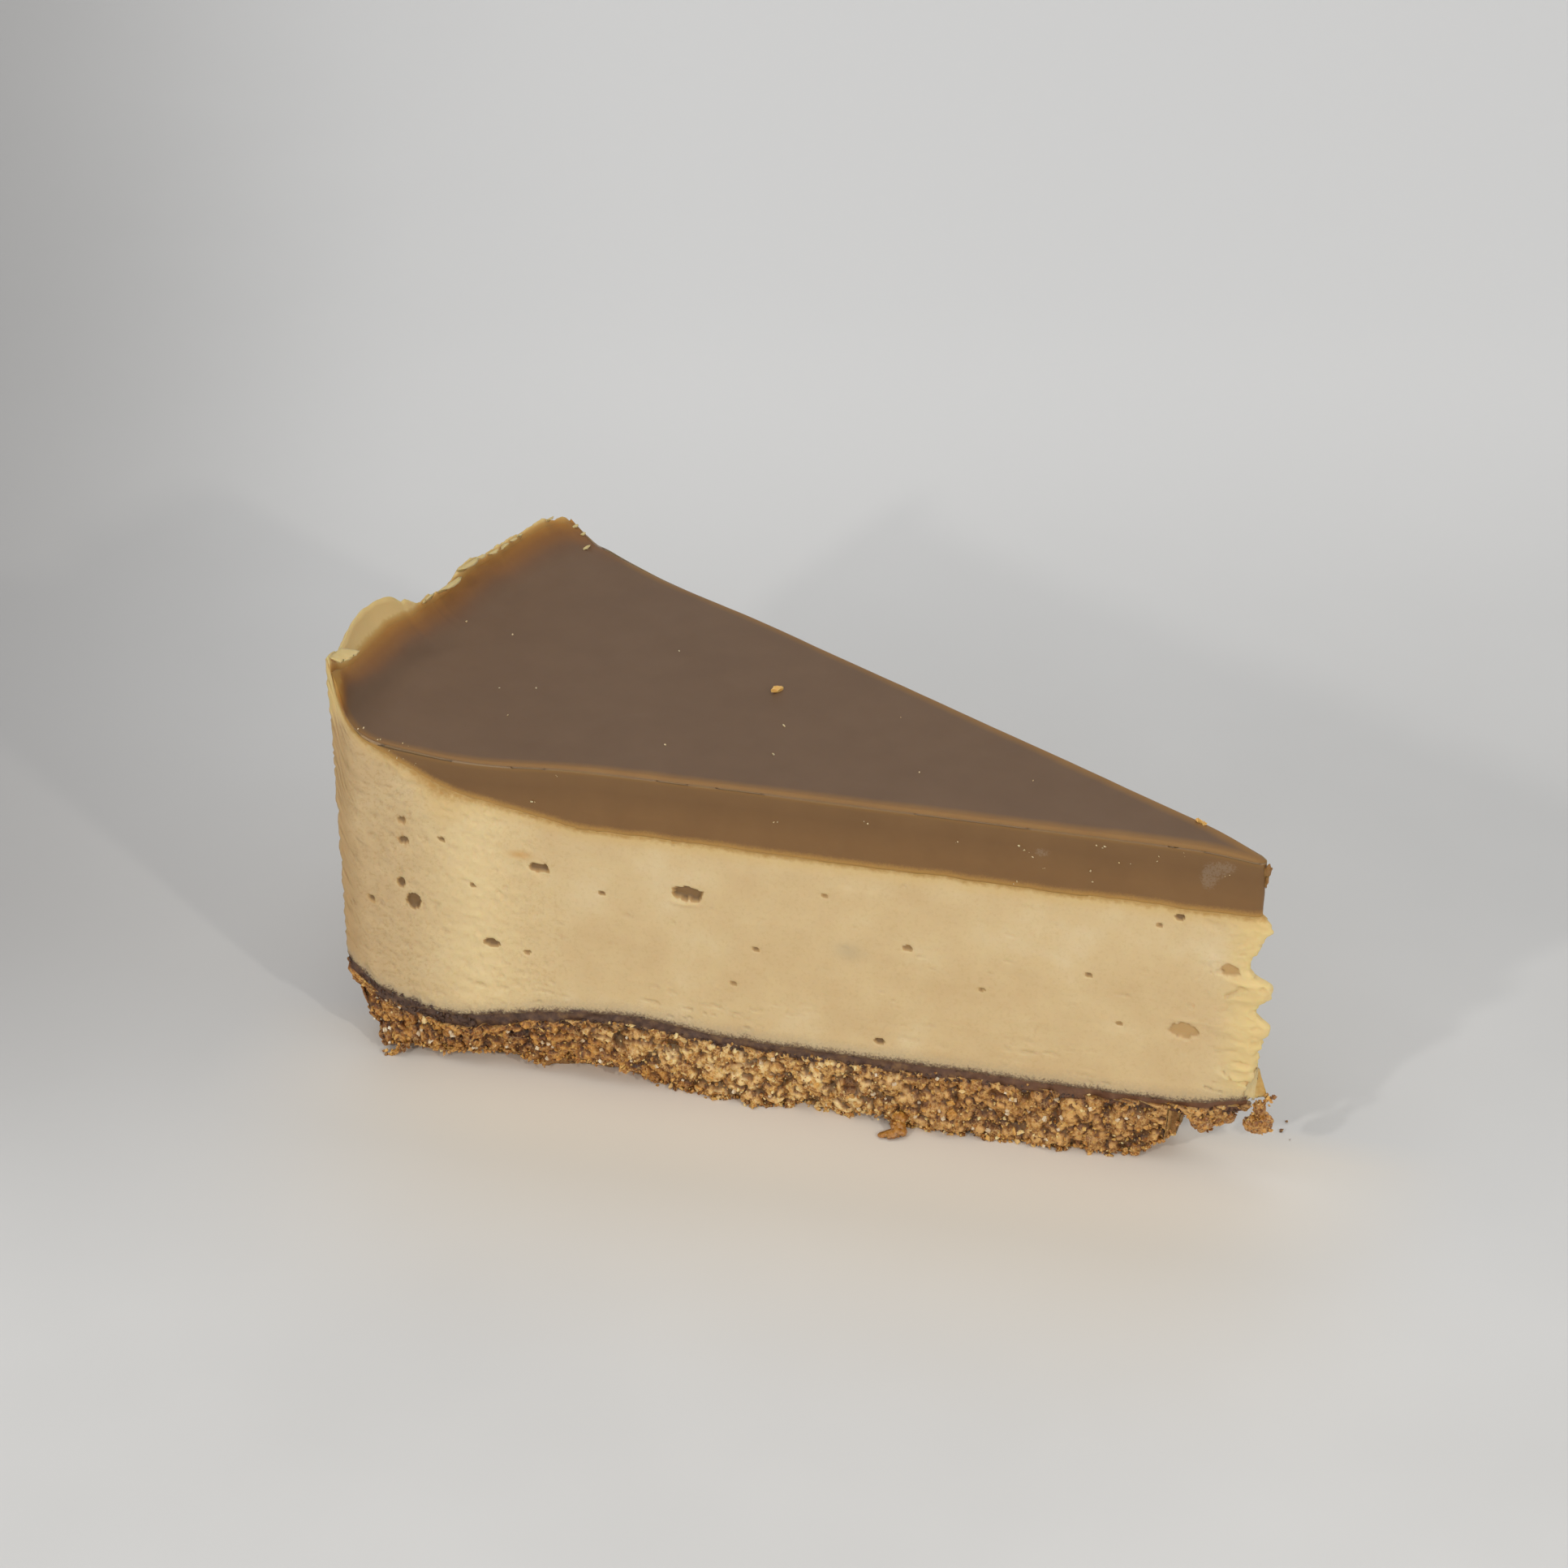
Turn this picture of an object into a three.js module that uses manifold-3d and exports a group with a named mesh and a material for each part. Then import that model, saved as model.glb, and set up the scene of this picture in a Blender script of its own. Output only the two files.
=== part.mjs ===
// A wedge cut from a round baked cheesecake, in four layers that run through it.
// From the bottom up: a crumbly biscuit base, a thin dark layer where the base has soaked,
// a tall pale filling whose rim stayed stuck high on the tin, and a poured biscuit-spread
// topping in the dish inside that rim. Millimetres, +Z up, +X towards the pointed tip.
import * as THREE from "three";
import Module from "manifold-3d";
import { mergeVertices } from "three/addons/utils/BufferGeometryUtils.js";

const wasm = await Module();
wasm.setup();

// Driving dimensions
const tinRadius = 115; // a 23 cm springform tin
const wedgeAngle = THREE.MathUtils.degToRad(29.1); // about one of twelve slices
const apexX = 56.46; // where the two cuts aim, with the origin under the middle of the slice
const apexY = -0.31;
const tipHalfWidth = 0.6; // the knife leaves the tip a little blunt
const tipSetback = 0.72; // how far its round end's middle stays behind where the cuts aim
const cornerBevel = 0.3; // on the two upright corners at the outer wall
const tuck = { depth: 4, height: 14, width: 16 }; // the outer wall draws in at the foot
// The cuts and the wall aren't quite flat: the ripple's height, and how fast it runs
const ripple = { height: 0.08, lengthwise: 0.23, around: 120, upwards: 0.33 };

// Levels above the table
const seamLevel = 9.7; // top of the dark layer
const seamThickness = 1.3;
const fillingLevel = 38.2; // top of the filling in the middle of the slice
const toppingLevel = 47;
const layerGap = 0.2; // clearance between neighbouring layers

// The dish in the filling, and the rim round it
const dish = { start: 82, end: 112.5, rise: 9.6, power: 1.6 };
const rim = { thickness: 0.5, flare: 0.9, bare: 0.2, rounding: 0.5 };
const chips = { height: 0.35, long: 1.3, short: 3.1 }; // along its edge
// The rim's edge: angle from the middle of the slice in degrees, height above the table
const rimEdge = [
  [-14.6, 57.0], [-12.0, 56.2], [-8.3, 55.8], [-4.6, 55.4], [-2.8, 53.2], [-0.6, 51.7],
  [1.4, 51.2], [4.0, 52.3], [7.0, 51.4], [11.5, 51.5], [13.6, 50.7], [14.6, 49.6],
];
// Where the rim has come loose it leans out, and stands bare above the topping
const rimLean = { angle: -7, width: 4.2, out: 2.2, from: 48, to: 55, bare: 2 };

// The topping: a shallow trough before the rim, and a fillet that climbs it as a thin film
const toppingRadius = 114.2;
const trough = { at: 97, width: 10, depth: 0.8, swing: 0.35 };
const fillet = { height: 10, near: 114.4, far: 113.5, reach: 1.5 };
const tipDroop = { depth: 0.9, width: 5 };
const film = { inwards: 0.45, thinnest: 0.3 };
const toppingRounding = [0.5, 0.1]; // drop of its top at the cut edge, and one ring in

// The dark layer's waves, each at a distance from the tip
const seamHump = { at: 74, width: 9, height: 1.2 };
const seamDip = { at: 97, width: 8, depth: 2.2 };
const seamSwing = 4; // its waves lie this much further out on the near cut than in the middle
const seamFade = 0.25; // the share of them that is gone in the middle
const seamClimb = { from: 105, height: 5 };
const seamTipRise = { width: 5, height: 1.6 };
const seamPool = { at: 100, width: 9, extra: 0.5 }; // where more has soaked in

// The filling's torn end at the tip: height, how far it stands out, half height
const tipTears = [
  [35.8, 1.2, 1.8], [30.5, -0.7, 1.2], [27.5, 2.2, 1.5], [22.0, 1.7, 1.6], [17.8, 1.4, 2.2],
];
const tearReach = 3.2; // how far back from the tip the tears reach
const tearMargin = { aboveSeam: 2.5, fadeIn: 1.5, belowTopping: 1 };
const tipFlake = { ahead: 1.2, z: 14.2, radius: 2.2 };

// Hollows in the cuts: distance from the tip, height, half length, half height, depth
const nearPores = [
  [88.9, 31.5, 1.3, 0.8, 1.2], [70.1, 30.6, 1.9, 1.1, 1.5], [105.6, 24.1, 1.1, 1.3, 1.3],
  [106.5, 33.0, 0.8, 0.6, 0.9], [106.6, 36.0, 0.6, 0.5, 0.7], [95.7, 19.3, 1.2, 0.7, 1.0],
  [8.1, 20.4, 1.9, 1.0, 1.1], [15.8, 21.6, 0.9, 0.8, 1.0], [9.5, 36.5, 0.7, 0.5, 0.7],
  [42.5, 27.0, 0.8, 0.5, 0.7], [49.8, 25.5, 1.2, 0.6, 0.5], [107.1, 26.6, 0.6, 0.7, 0.7],
];
const farPores = [
  [22, 30, 1.1, 0.8, 1.0], [38, 19.5, 1.6, 0.9, 1.2], [57, 31.5, 0.9, 0.6, 0.8],
  [71, 22, 1.3, 1.0, 1.1], [88, 27, 1.7, 0.9, 1.3], [101, 34, 0.8, 0.6, 0.8],
];

// The biscuit base: a craggy core with larger crumbs fused on
const crag = { spacing: 2.6, rowHeight: 1.8, recess: 1, depth: 1.8 };
const crumbs = { spacing: 7.5, smallest: 1.3, largest: 2.5, rows: [1.7, 5.2], scatter: 2.4 };
const sunk = { share: 0.7, extra: 0.4 }; // how deep a crumb sits, against its size, and in mm
// What broke off its foot: distance from the tip, side, height, half length, depth, half height
const footBites = [
  [83, -1, -0.2, 8, 3.2, 3.7], [97, -1, -0.6, 9, 3.2, 3.6], [108, -1, -1, 6, 3, 3],
  [46, -1, -0.6, 4, 1.6, 2], [60, 1, -0.8, 8, 2.4, 3], [95, 1, -0.8, 7, 2.6, 2.8],
  [27, 1, -0.6, 5, 2, 2.2],
];
// Its broken tip: distance ahead of where the cuts aim, across, height, three half sizes
const tipBites = [
  [-1.5, 0, 0.2, 12.5, 9, 6.4], [-11, -1.5, -0.6, 7, 5, 3.2], [-8.8, -2, 6.2, 0.9, 3.2, 3],
  [-1.7, -1, 8.4, 1, 1.6, 0.9],
];
const tipCrumbs = [
  [1.2, 0, 8.7, 2.4, 1.6, 1.7], [-1.7, 0, 8.5, 2.1, 1.6, 1.6], [-5.2, -0.7, 7, 2.1, 1.5, 1.9],
  [-4.2, 0.5, 7.6, 2.2, 1.5, 1.4],
];
const wholeFrom = 14; // nearer the tip the base has none of its side crumbs left
// How uneven each kind of lump is, as a share of its size
const uneven = { hollow: 0.25, flake: 0.3, bite: 0.3, tip: 0.35, crumb: 0.5 };
const seeds = { filling: 7, crumbs: 20, base: 16 };

const half = wedgeAngle / 2;
const smooth = THREE.MathUtils.smoothstep;
const bump = (t) => Math.exp(-t * t);
const spread = (from, to, steps) =>
  Array.from({ length: steps + 1 }, (_, i) => from + ((to - from) * i) / steps);

// A repeatable random source: the same numbers on every run
function randomSource(seed) {
  let state = seed;
  return () => {
    state = (state * 1664525 + 1013904223) % 4294967296;
    return state / 4294967296;
  };
}

// The eased curve through listed points
function along(points, x) {
  const next = points.findIndex((point) => x <= point[0]);
  if (next <= 0) return points.at(next)[1];
  const [x0, y0] = points[next - 1];
  const [x1, y1] = points[next];
  return y0 + (y1 - y0) * smooth(x, x0, x1);
}

// A place seen from the cuts' meeting point: its distance, and its angle from the middle
function fromApex(x, y) {
  return { rho: Math.hypot(apexX - x, y - apexY), phi: Math.atan2(y - apexY, apexX - x) };
}

function rimHeight(phi) {
  const degrees = THREE.MathUtils.radToDeg(phi);
  const chipped = Math.sin(chips.short * degrees) * Math.sin(chips.long * degrees + 1);
  return along(rimEdge, degrees) + chips.height * chipped;
}

// The top of the dark layer waves, strongest at the cuts, and climbs the tin at the wall
function seamTop(x, y) {
  const { rho, phi } = fromApex(x, y);
  const strength = 1 - seamFade * (1 - (phi / half) ** 2);
  const swing = (seamSwing * phi) / half;
  const hump = seamHump.height * bump((rho - seamHump.at + swing) / seamHump.width);
  const dip = seamDip.depth * bump((rho - seamDip.at + swing) / seamDip.width);
  const share = Math.max(0, rho - seamClimb.from) / (tinRadius - seamClimb.from);
  const tipRise = seamTipRise.height * bump(rho / seamTipRise.width);
  return seamLevel + strength * (hump - dip) + seamClimb.height * share ** 3 + tipRise;
}

function seamBottom(x, y) {
  const thicker = seamPool.extra * bump((fromApex(x, y).rho - seamPool.at) / seamPool.width);
  return seamTop(x, y) - seamThickness - thicker;
}

// The filling: level in the middle, a dish that rises outwards, then the thin upright rim
function fillingTop(x, y) {
  const { rho, phi } = fromApex(x, y);
  const inside = tinRadius - rim.thickness;
  const dishHeight = (r) =>
    fillingLevel + dish.rise * (Math.max(0, r - dish.start) / (dish.end - dish.start)) ** dish.power;
  const edge = rimHeight(phi);
  if (rho >= inside) return edge - rim.rounding * ((rho - inside) / rim.thickness) ** 2;
  return dishHeight(rho) + (edge - dishHeight(inside)) * Math.exp((rho - inside) / rim.flare);
}

// How far the rim has come loose at an angle, from 0 to 1
const looseness = (phi) => bump((THREE.MathUtils.radToDeg(phi) - rimLean.angle) / rimLean.width);

// The topping's skin: nearly level, then up the rim until only a film is left on it
function toppingTop(x, y) {
  const { rho, phi } = fromApex(x, y);
  const side = phi / half;
  const dip = trough.depth * (1 - trough.swing * side) * bump((rho - trough.at) / trough.width);
  const droop = tipDroop.depth * bump(rho / tipDroop.width);
  const room = rimHeight(phi) - rim.bare - rimLean.bare * looseness(phi) - toppingLevel;
  const wall = THREE.MathUtils.lerp(fillet.near, fillet.far, (side + 1) / 2);
  const climb = fillet.height * Math.exp((rho - wall) / fillet.reach);
  const pooled = toppingLevel - dip - droop + (climb ** -4 + room ** -4) ** -0.25;
  const shifted = (rho + film.inwards) / rho;
  const coat = fillingTop(apexX + (x - apexX) * shifted, apexY + (y - apexY) * shifted);
  const coated = Math.max(pooled, Math.min(coat, toppingLevel + room));
  return Math.max(coated, fillingTop(x, y) + layerGap + film.thinnest);
}

// Stations round a slice: along the near cut to the tip, along the far cut, round the wall
function outline(radius, distances, wallSteps) {
  const cut = (side) =>
    [...distances.filter((d) => d < radius - cornerBevel - 0.3), radius - cornerBevel].map((rho) => ({
      x: apexX - rho * Math.cos(half),
      y: apexY + side * (rho * Math.sin(half) + tipHalfWidth * (1 - rho / radius)),
      outward: [Math.sin(half), side * Math.cos(half)],
      rho,
      phi: side * half,
    }));
  const tip = [-50, 0, 50].map(THREE.MathUtils.degToRad).map((turn) => ({
    x: apexX + tipHalfWidth * Math.cos(turn) - tipSetback,
    y: apexY + tipHalfWidth * Math.sin(turn),
    outward: [Math.cos(turn), Math.sin(turn)],
    rho: 0,
    phi: 0,
  }));
  const reach = half - cornerBevel / radius;
  const wall = spread(reach, -reach, wallSteps).map((phi) => ({
    x: apexX - radius * Math.cos(phi),
    y: apexY + radius * Math.sin(phi),
    outward: [-Math.cos(phi), Math.sin(phi)],
    rho: radius,
    phi,
  }));
  return [...cut(-1).reverse(), ...tip, ...cut(1), ...wall];
}

// A point of the slice's side at a station and a height, moved out by a distance
function sidePoint({ x, y, outward, rho, phi }, z, out = 0) {
  const nearWall = smooth(rho, tinRadius - tuck.width, tinRadius);
  const tucked = tuck.depth * (1 - smooth(z, 0, tuck.height)) * nearWall;
  const wave = ripple.lengthwise * rho + ripple.around * phi + ripple.upwards * z;
  const tearsStart = seamLevel + tearMargin.aboveSeam;
  const aboveSeam = smooth(z, tearsStart, tearsStart + tearMargin.fadeIn);
  const belowTopping = 1 - smooth(z, fillingLevel - tearMargin.belowTopping, fillingLevel);
  const torn = tipTears.reduce((sum, [height, far, size]) => sum + far * bump((z - height) / size), 0);
  const tear = torn * aboveSeam * belowTopping * bump(rho / tearReach);
  const push = out + ripple.height * Math.sin(wave);
  return [
    x + tucked * Math.cos(phi) + outward[0] * push + tear,
    y - tucked * Math.sin(phi) + outward[1] * push,
    z,
  ];
}

// The place where a surface meets the slice's side
function edgePoint(station, surface, out) {
  let point = [station.x, station.y];
  for (let pass = 0; pass < 4; pass++) point = sidePoint(station, surface(point[0], point[1]), out);
  return point;
}

// The rim leans outwards where it has come loose
function leaned([x, y, z]) {
  const { rho, phi } = fromApex(x, y);
  const share = smooth(z, rimLean.from, rimLean.to) * smooth(rho, tinRadius - 6, tinRadius - 1);
  const out = rimLean.out * looseness(phi) * share;
  return [x - out * Math.cos(phi), y + out * Math.sin(phi), z];
}

// A band of triangles between two rings of points, whose counts may differ
function band(upper, lower) {
  const faces = [];
  let i = 0;
  let j = 0;
  while (i < upper.count || j < lower.count) {
    const a = upper.start + (i % upper.count);
    const b = lower.start + (j % lower.count);
    if ((j + 1) * upper.count <= (i + 1) * lower.count) {
      j++;
      faces.push([a, b, lower.start + (j % lower.count)]);
    } else {
      i++;
      faces.push([a, b, upper.start + (i % upper.count)]);
    }
  }
  return faces;
}

// The middle that the rings of each layer's top and bottom shrink to
const middle = [apexX - 0.62 * tinRadius, apexY];
// Rings of a layer's top or bottom: size against the outline, and one point for how many stations
const fineRings = [
  [1, 1], [0.98, 1], [0.97, 1], [0.945, 1], [0.905, 2], [0.83, 2], [0.68, 4], [0.4, 4],
];
const plainRings = [[1, 1], [0.975, 1], [0.93, 2], [0.86, 2], [0.72, 4], [0.5, 4], [0.25, 8]];
const flatRings = [[1, 1], [0.85, 4]];

// A closed layer of the slice between two surfaces.
// stations: its outline; top, bottom: heights over a place; topRings, bottomRings: as above
// heights: shares of the way down its side that get a row of points
// rounding: how far the outer rings of its top drop; out: how far each side point stands out
// flange: carries both edges straight out by this much, for a layer that cuts another
function layer({
  stations, top, bottom, topRings, bottomRings, heights = [], rounding = [], out = () => 0, flange = 0,
}) {
  const points = [];
  const addRing = (ring) => {
    points.push(...ring);
    return { start: points.length - ring.length, count: ring.length };
  };
  const cap = (surface, rings, drops) => {
    const edge = stations.map((station) => edgePoint(station, surface, out()));
    const made = rings.map(([share, every], order) =>
      addRing(
        edge.filter((_, i) => i % every === 0).map(([x, y]) => {
          const place = [x, y].map((v, axis) => middle[axis] + (v - middle[axis]) * share);
          return [...place, surface(...place) - (drops[order] ?? 0)];
        }),
      ),
    );
    if (flange > 0) {
      const moved = edge.map(([x, y, z], i) => {
        const [outX, outY] = stations[i].outward;
        return [x + flange * outX, y + flange * outY, z];
      });
      made.unshift(addRing(moved));
    }
    const centre = addRing([[...middle, surface(...middle)]]);
    return { edge: made[0], faces: [...made.slice(1), centre].flatMap((ring, i) => band(ring, made[i])) };
  };
  const upper = cap(top, topRings, rounding);
  const lower = cap(bottom, bottomRings, []);
  const rows = [upper.edge];
  for (const share of heights)
    rows.push(
      addRing(
        stations.map((station, i) => {
          const from = points[upper.edge.start + i][2];
          const to = points[lower.edge.start + i][2];
          return sidePoint(station, from + (to - from) * share, out());
        }),
      ),
    );
  rows.push(lower.edge);
  const sides = rows.slice(1).flatMap((row, i) => band(rows[i], row));
  const underside = lower.faces.map((face) => face.reverse());
  const whole = ([a, b, c]) => a !== b && b !== c && c !== a;
  const corners = [...upper.faces, ...underside, ...sides].filter(whole);
  const geometry = new THREE.BufferGeometry();
  geometry.setAttribute("position", new THREE.Float32BufferAttribute(points.map(leaned).flat(), 3));
  return solidOf(geometry.setIndex(corners.flat()));
}

// Between three.js geometry and a solid that can be joined and cut
function solidOf(geometry) {
  const bare = new THREE.BufferGeometry().setAttribute("position", geometry.getAttribute("position"));
  const merged = mergeVertices(bare.setIndex(geometry.index), 1e-4);
  return new wasm.Manifold(
    new wasm.Mesh({
      numProp: 3,
      vertProperties: merged.attributes.position.array,
      triVerts: new Uint32Array(merged.index.array),
    }),
  );
}

function geometryOf(solid) {
  const { vertProperties, triVerts } = solid.getMesh();
  const geometry = new THREE.BufferGeometry();
  geometry.setAttribute("position", new THREE.BufferAttribute(new Float32Array(vertProperties), 3));
  geometry.setIndex(new THREE.BufferAttribute(new Uint32Array(triVerts), 1));
  geometry.computeVertexNormals();
  return geometry;
}

const join = (solids) => wasm.Manifold.union(solids);

// The largest body of a solid, without loose scraps and sealed hollows
const largestBody = (solid) => solid.decompose().reduce((a, b) => (b.volume() > a.volume() ? b : a));

// An uneven lump: an icosahedron whose corners move in and out, turned, stretched and placed
function lump(random, place, halfSizes, roughness, turn = 0) {
  const ball = new THREE.IcosahedronGeometry(1, 0);
  const bare = new THREE.BufferGeometry().setAttribute("position", ball.getAttribute("position"));
  const shape = mergeVertices(bare, 1e-3);
  const corners = shape.getAttribute("position");
  const corner = new THREE.Vector3();
  for (let i = 0; i < corners.count; i++) {
    corner.fromBufferAttribute(corners, i).multiplyScalar(1 + roughness * (random() - 0.5));
    corners.setXYZ(i, corner.x, corner.y, corner.z);
  }
  const [tumble, spin] = [random() * 3, random() * 3];
  shape.rotateX(tumble).rotateY(spin).scale(...halfSizes).rotateZ(turn).translate(...place);
  return solidOf(shape);
}

// Places on a cut, by the distance from the tip, with side -1 near and 1 far
const onCut = (rho, side, z) => [apexX - rho * Math.cos(half), apexY + side * rho * Math.sin(half), z];

const layerDistances = [0.9, 1.8, 3.6, 6.2, 10, ...spread(15, 99, 13), 103, 106.5, 109.5, 111.6, 113.2];
const sliceStations = outline(tinRadius, layerDistances, 26);
const raised = (surface, by) => (x, y) => surface(x, y) + by;

// The filling, less its hollows, with the flake that the knife pulled out at the tip
function makeFilling() {
  const body = layer({
    stations: sliceStations,
    top: fillingTop,
    bottom: raised(seamTop, layerGap),
    topRings: fineRings,
    bottomRings: plainRings,
    heights: spread(0, 1, 12).slice(1, -1),
  });
  const random = randomSource(seeds.filling);
  const hollow = (side) => ([rho, z, length, height, depth]) =>
    lump(random, onCut(rho, side, z), [length, depth, height], uneven.hollow, -side * half);
  const flakeSizes = [1, 0.7, 1].map((share) => share * tipFlake.radius);
  const flake = lump(random, [apexX + tipFlake.ahead, apexY, tipFlake.z], flakeSizes, uneven.flake);
  const hollows = join([...nearPores.map(hollow(-1)), ...farPores.map(hollow(1))]);
  return largestBody(join([body, flake]).subtract(hollows));
}

// The topping fills the dish: its underside is cut to the filling
function makeTopping() {
  const poured = layer({
    stations: outline(toppingRadius, layerDistances, 26),
    top: toppingTop,
    bottom: () => fillingLevel - 2,
    topRings: fineRings,
    bottomRings: flatRings,
    rounding: toppingRounding,
  });
  const below = layer({
    stations: sliceStations,
    top: raised(fillingTop, layerGap),
    bottom: () => fillingLevel - 6,
    topRings: fineRings,
    bottomRings: flatRings,
    flange: 1,
  });
  return largestBody(poured.subtract(below));
}

function makeSeam() {
  return layer({
    stations: sliceStations,
    top: seamTop,
    bottom: seamBottom,
    topRings: plainRings,
    bottomRings: plainRings,
  });
}

// Larger crumbs in rows round the base's side
function sideCrumbs(stations) {
  const random = randomSource(seeds.crumbs);
  const step = Math.round(crumbs.spacing / crag.spacing);
  return crumbs.rows.flatMap((height) =>
    stations
      .filter(({ rho }, i) => i % step === 0 && rho > wholeFrom)
      .map((station) => {
        const size = THREE.MathUtils.lerp(crumbs.smallest, crumbs.largest, random());
        const z = Math.max(height + crumbs.scatter * (random() - 0.5), 0.8 * size);
        const place = sidePoint(station, z, -sunk.share * size - sunk.extra * random());
        return lump(random, place, [1.1 * size, 1.1 * size, 0.9 * size], uneven.crumb);
      }),
  );
}

function makeBase() {
  const random = randomSource(seeds.base);
  const cutDistances = spread(0.9, tinRadius, Math.round(tinRadius / crag.spacing));
  const wallSteps = Math.round((tinRadius * wedgeAngle) / crag.spacing);
  const stations = outline(tinRadius, cutDistances, wallSteps);
  const height = seamLevel + seamClimb.height;
  const core = layer({
    stations,
    top: () => height,
    bottom: () => -1,
    topRings: flatRings,
    bottomRings: flatRings,
    heights: spread(0, 1, Math.round(height / crag.rowHeight)).slice(1, -1),
    out: () => -crag.recess + crag.depth * (random() - 0.5),
  });
  const above = layer({
    stations: sliceStations,
    top: () => fillingLevel,
    bottom: raised(seamBottom, -layerGap),
    topRings: flatRings,
    bottomRings: plainRings,
    flange: 4,
  });
  const table = solidOf(new THREE.BoxGeometry(200, 200, 20).translate(0, 0, -10));
  const atFoot = ([rho, side, z, ...sizes]) =>
    lump(random, onCut(rho, side, z), sizes, uneven.bite, -side * half);
  const atTip = ([ahead, across, z, ...sizes]) =>
    lump(random, [apexX + ahead, apexY + across, z], sizes, uneven.tip);
  const bites = join([...footBites.map(atFoot), ...tipBites.map(atTip)]);
  const bitten = join([core, ...sideCrumbs(stations)]).subtract(bites);
  return largestBody(join([bitten, ...tipCrumbs.map(atTip)]).subtract(join([above, table])));
}

const slice = new THREE.Group();
function addLayer(name, solid, color, roughness) {
  const mesh = new THREE.Mesh(geometryOf(solid), new THREE.MeshStandardMaterial({ color, roughness }));
  mesh.name = name;
  slice.add(mesh);
}

addLayer("biscuit_base", makeBase(), "#94683a", 0.85);
addLayer("dark_seam", makeSeam(), "#5a4130", 0.6);
addLayer("cream_filling", makeFilling(), "#ccb183", 0.65);
addLayer("spread_topping", makeTopping(), "#6e5b4b", 0.3);

export default slice;
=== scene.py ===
# A slice of speculoos cheesecake on plain pale paper: biscuit base, soaked layer, cream, spread.
# Lengths are in millimetres until a mesh is made; +X points towards the slice's tip.
import math

import bmesh
import bpy
import numpy as np
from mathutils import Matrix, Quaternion, Vector


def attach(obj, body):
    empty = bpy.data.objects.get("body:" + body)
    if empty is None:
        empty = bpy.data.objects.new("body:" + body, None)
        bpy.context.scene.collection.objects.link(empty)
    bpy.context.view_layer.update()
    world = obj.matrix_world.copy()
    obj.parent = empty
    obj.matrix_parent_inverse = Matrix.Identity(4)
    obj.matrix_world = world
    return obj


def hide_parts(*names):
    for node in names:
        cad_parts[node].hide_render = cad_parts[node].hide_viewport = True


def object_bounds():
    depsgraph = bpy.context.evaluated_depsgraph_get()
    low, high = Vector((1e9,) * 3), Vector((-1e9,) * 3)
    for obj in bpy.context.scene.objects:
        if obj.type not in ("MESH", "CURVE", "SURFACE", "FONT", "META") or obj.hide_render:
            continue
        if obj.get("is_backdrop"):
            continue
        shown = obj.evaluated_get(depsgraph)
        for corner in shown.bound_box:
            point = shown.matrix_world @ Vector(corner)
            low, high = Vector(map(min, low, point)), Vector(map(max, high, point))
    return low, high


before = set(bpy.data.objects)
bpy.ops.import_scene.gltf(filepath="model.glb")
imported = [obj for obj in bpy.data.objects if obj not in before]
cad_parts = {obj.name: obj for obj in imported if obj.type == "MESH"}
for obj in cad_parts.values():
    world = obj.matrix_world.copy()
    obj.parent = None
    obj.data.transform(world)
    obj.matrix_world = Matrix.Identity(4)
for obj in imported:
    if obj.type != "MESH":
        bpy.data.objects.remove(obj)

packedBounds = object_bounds()
metre = 1000  # in millimetres

# The slice's shape: the solids have it too, all but the finest forms
wedge = {
    "radius": 115, "angle": 29.1, "apexX": 56.46, "apexY": -0.31,
    "tipHalfWidth": 0.6, "tipSetback": 0.72, "tipTurn": 66, "tipStart": 0.6, "cornerBevel": 0.3,
    "middleShare": 0.62,  # of the radius: the rings of every layer shrink to this place
    "aroundScale": 40,  # mm of noise for each radian round the slice
    "tuckDepth": 4, "tuckHeight": 14, "tuckWidth": 16,  # the wall draws in at its foot
    "rippleHeight": 0.02, "rippleAlong": 0.23, "rippleAround": 120, "rippleUp": 0.33,
    "seamLevel": 9.7, "fillingLevel": 38.2, "toppingLevel": 47,
    # the filling's torn end: height, how far it stands out
    "tipTears": [
        (12.5, 0.6), (14.5, 0.8), (16.5, 1.0), (18.2, 1.3), (19.9, 1.4), (21.0, 1.5), (22.3, 1.75), (23.0, 1.5),
        (23.5, 0.7), (24.0, 0.4), (25.1, 0.7), (26.1, 1.5), (26.9, 2.15), (27.8, 2.25), (28.4, 1.8), (28.8, 1.2),
        (29.1, -0.3), (30.5, -0.7), (31.6, -0.6), (32.8, -0.2), (33.8, 0.3), (34.6, 0.75), (35.4, 1.1),
        (36.2, 1.2), (37.0, 1.0), (37.7, 0.5), (38.1, 0.1),
    ],
    "tearReach": 2.6, "tearFrom": 12.2, "tearEased": 1.5, "tearShreds": 0.34, "tearSeed": 25,
    "tearSizes": [(1.3, 1.4), (0.7, 0.7), (0.4, 0.4)],
}
half = math.radians(wedge["angle"]) / 2
apexX, apexY, radius = wedge["apexX"], wedge["apexY"], wedge["radius"]
middle = np.array([apexX - wedge["middleShare"] * radius, apexY])
middleDepth = wedge["middleShare"] * radius * math.sin(half)  # its distance from either cut
noiseLook = {"octaveShift": 17.3, "octaveFade": 1.7, "grainScatter": 0.42, "grainReach": 0.72}


def smooth(t, low, high):
    share = np.clip((t - low) / (high - low), 0, 1)
    return share * share * (3 - 2 * share)


def bump(t):
    return np.exp(-t * t)


def easedCurve(points, t):
    places, heights = np.array(points).T
    after = np.clip(np.searchsorted(places, t), 1, len(places) - 1)
    share = smooth(t, places[after - 1], places[after])
    return heights[after - 1] + (heights[after] - heights[after - 1]) * share


def fromApex(x, y):
    return np.hypot(apexX - x, y - apexY), np.arctan2(y - apexY, apexX - x)


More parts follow.
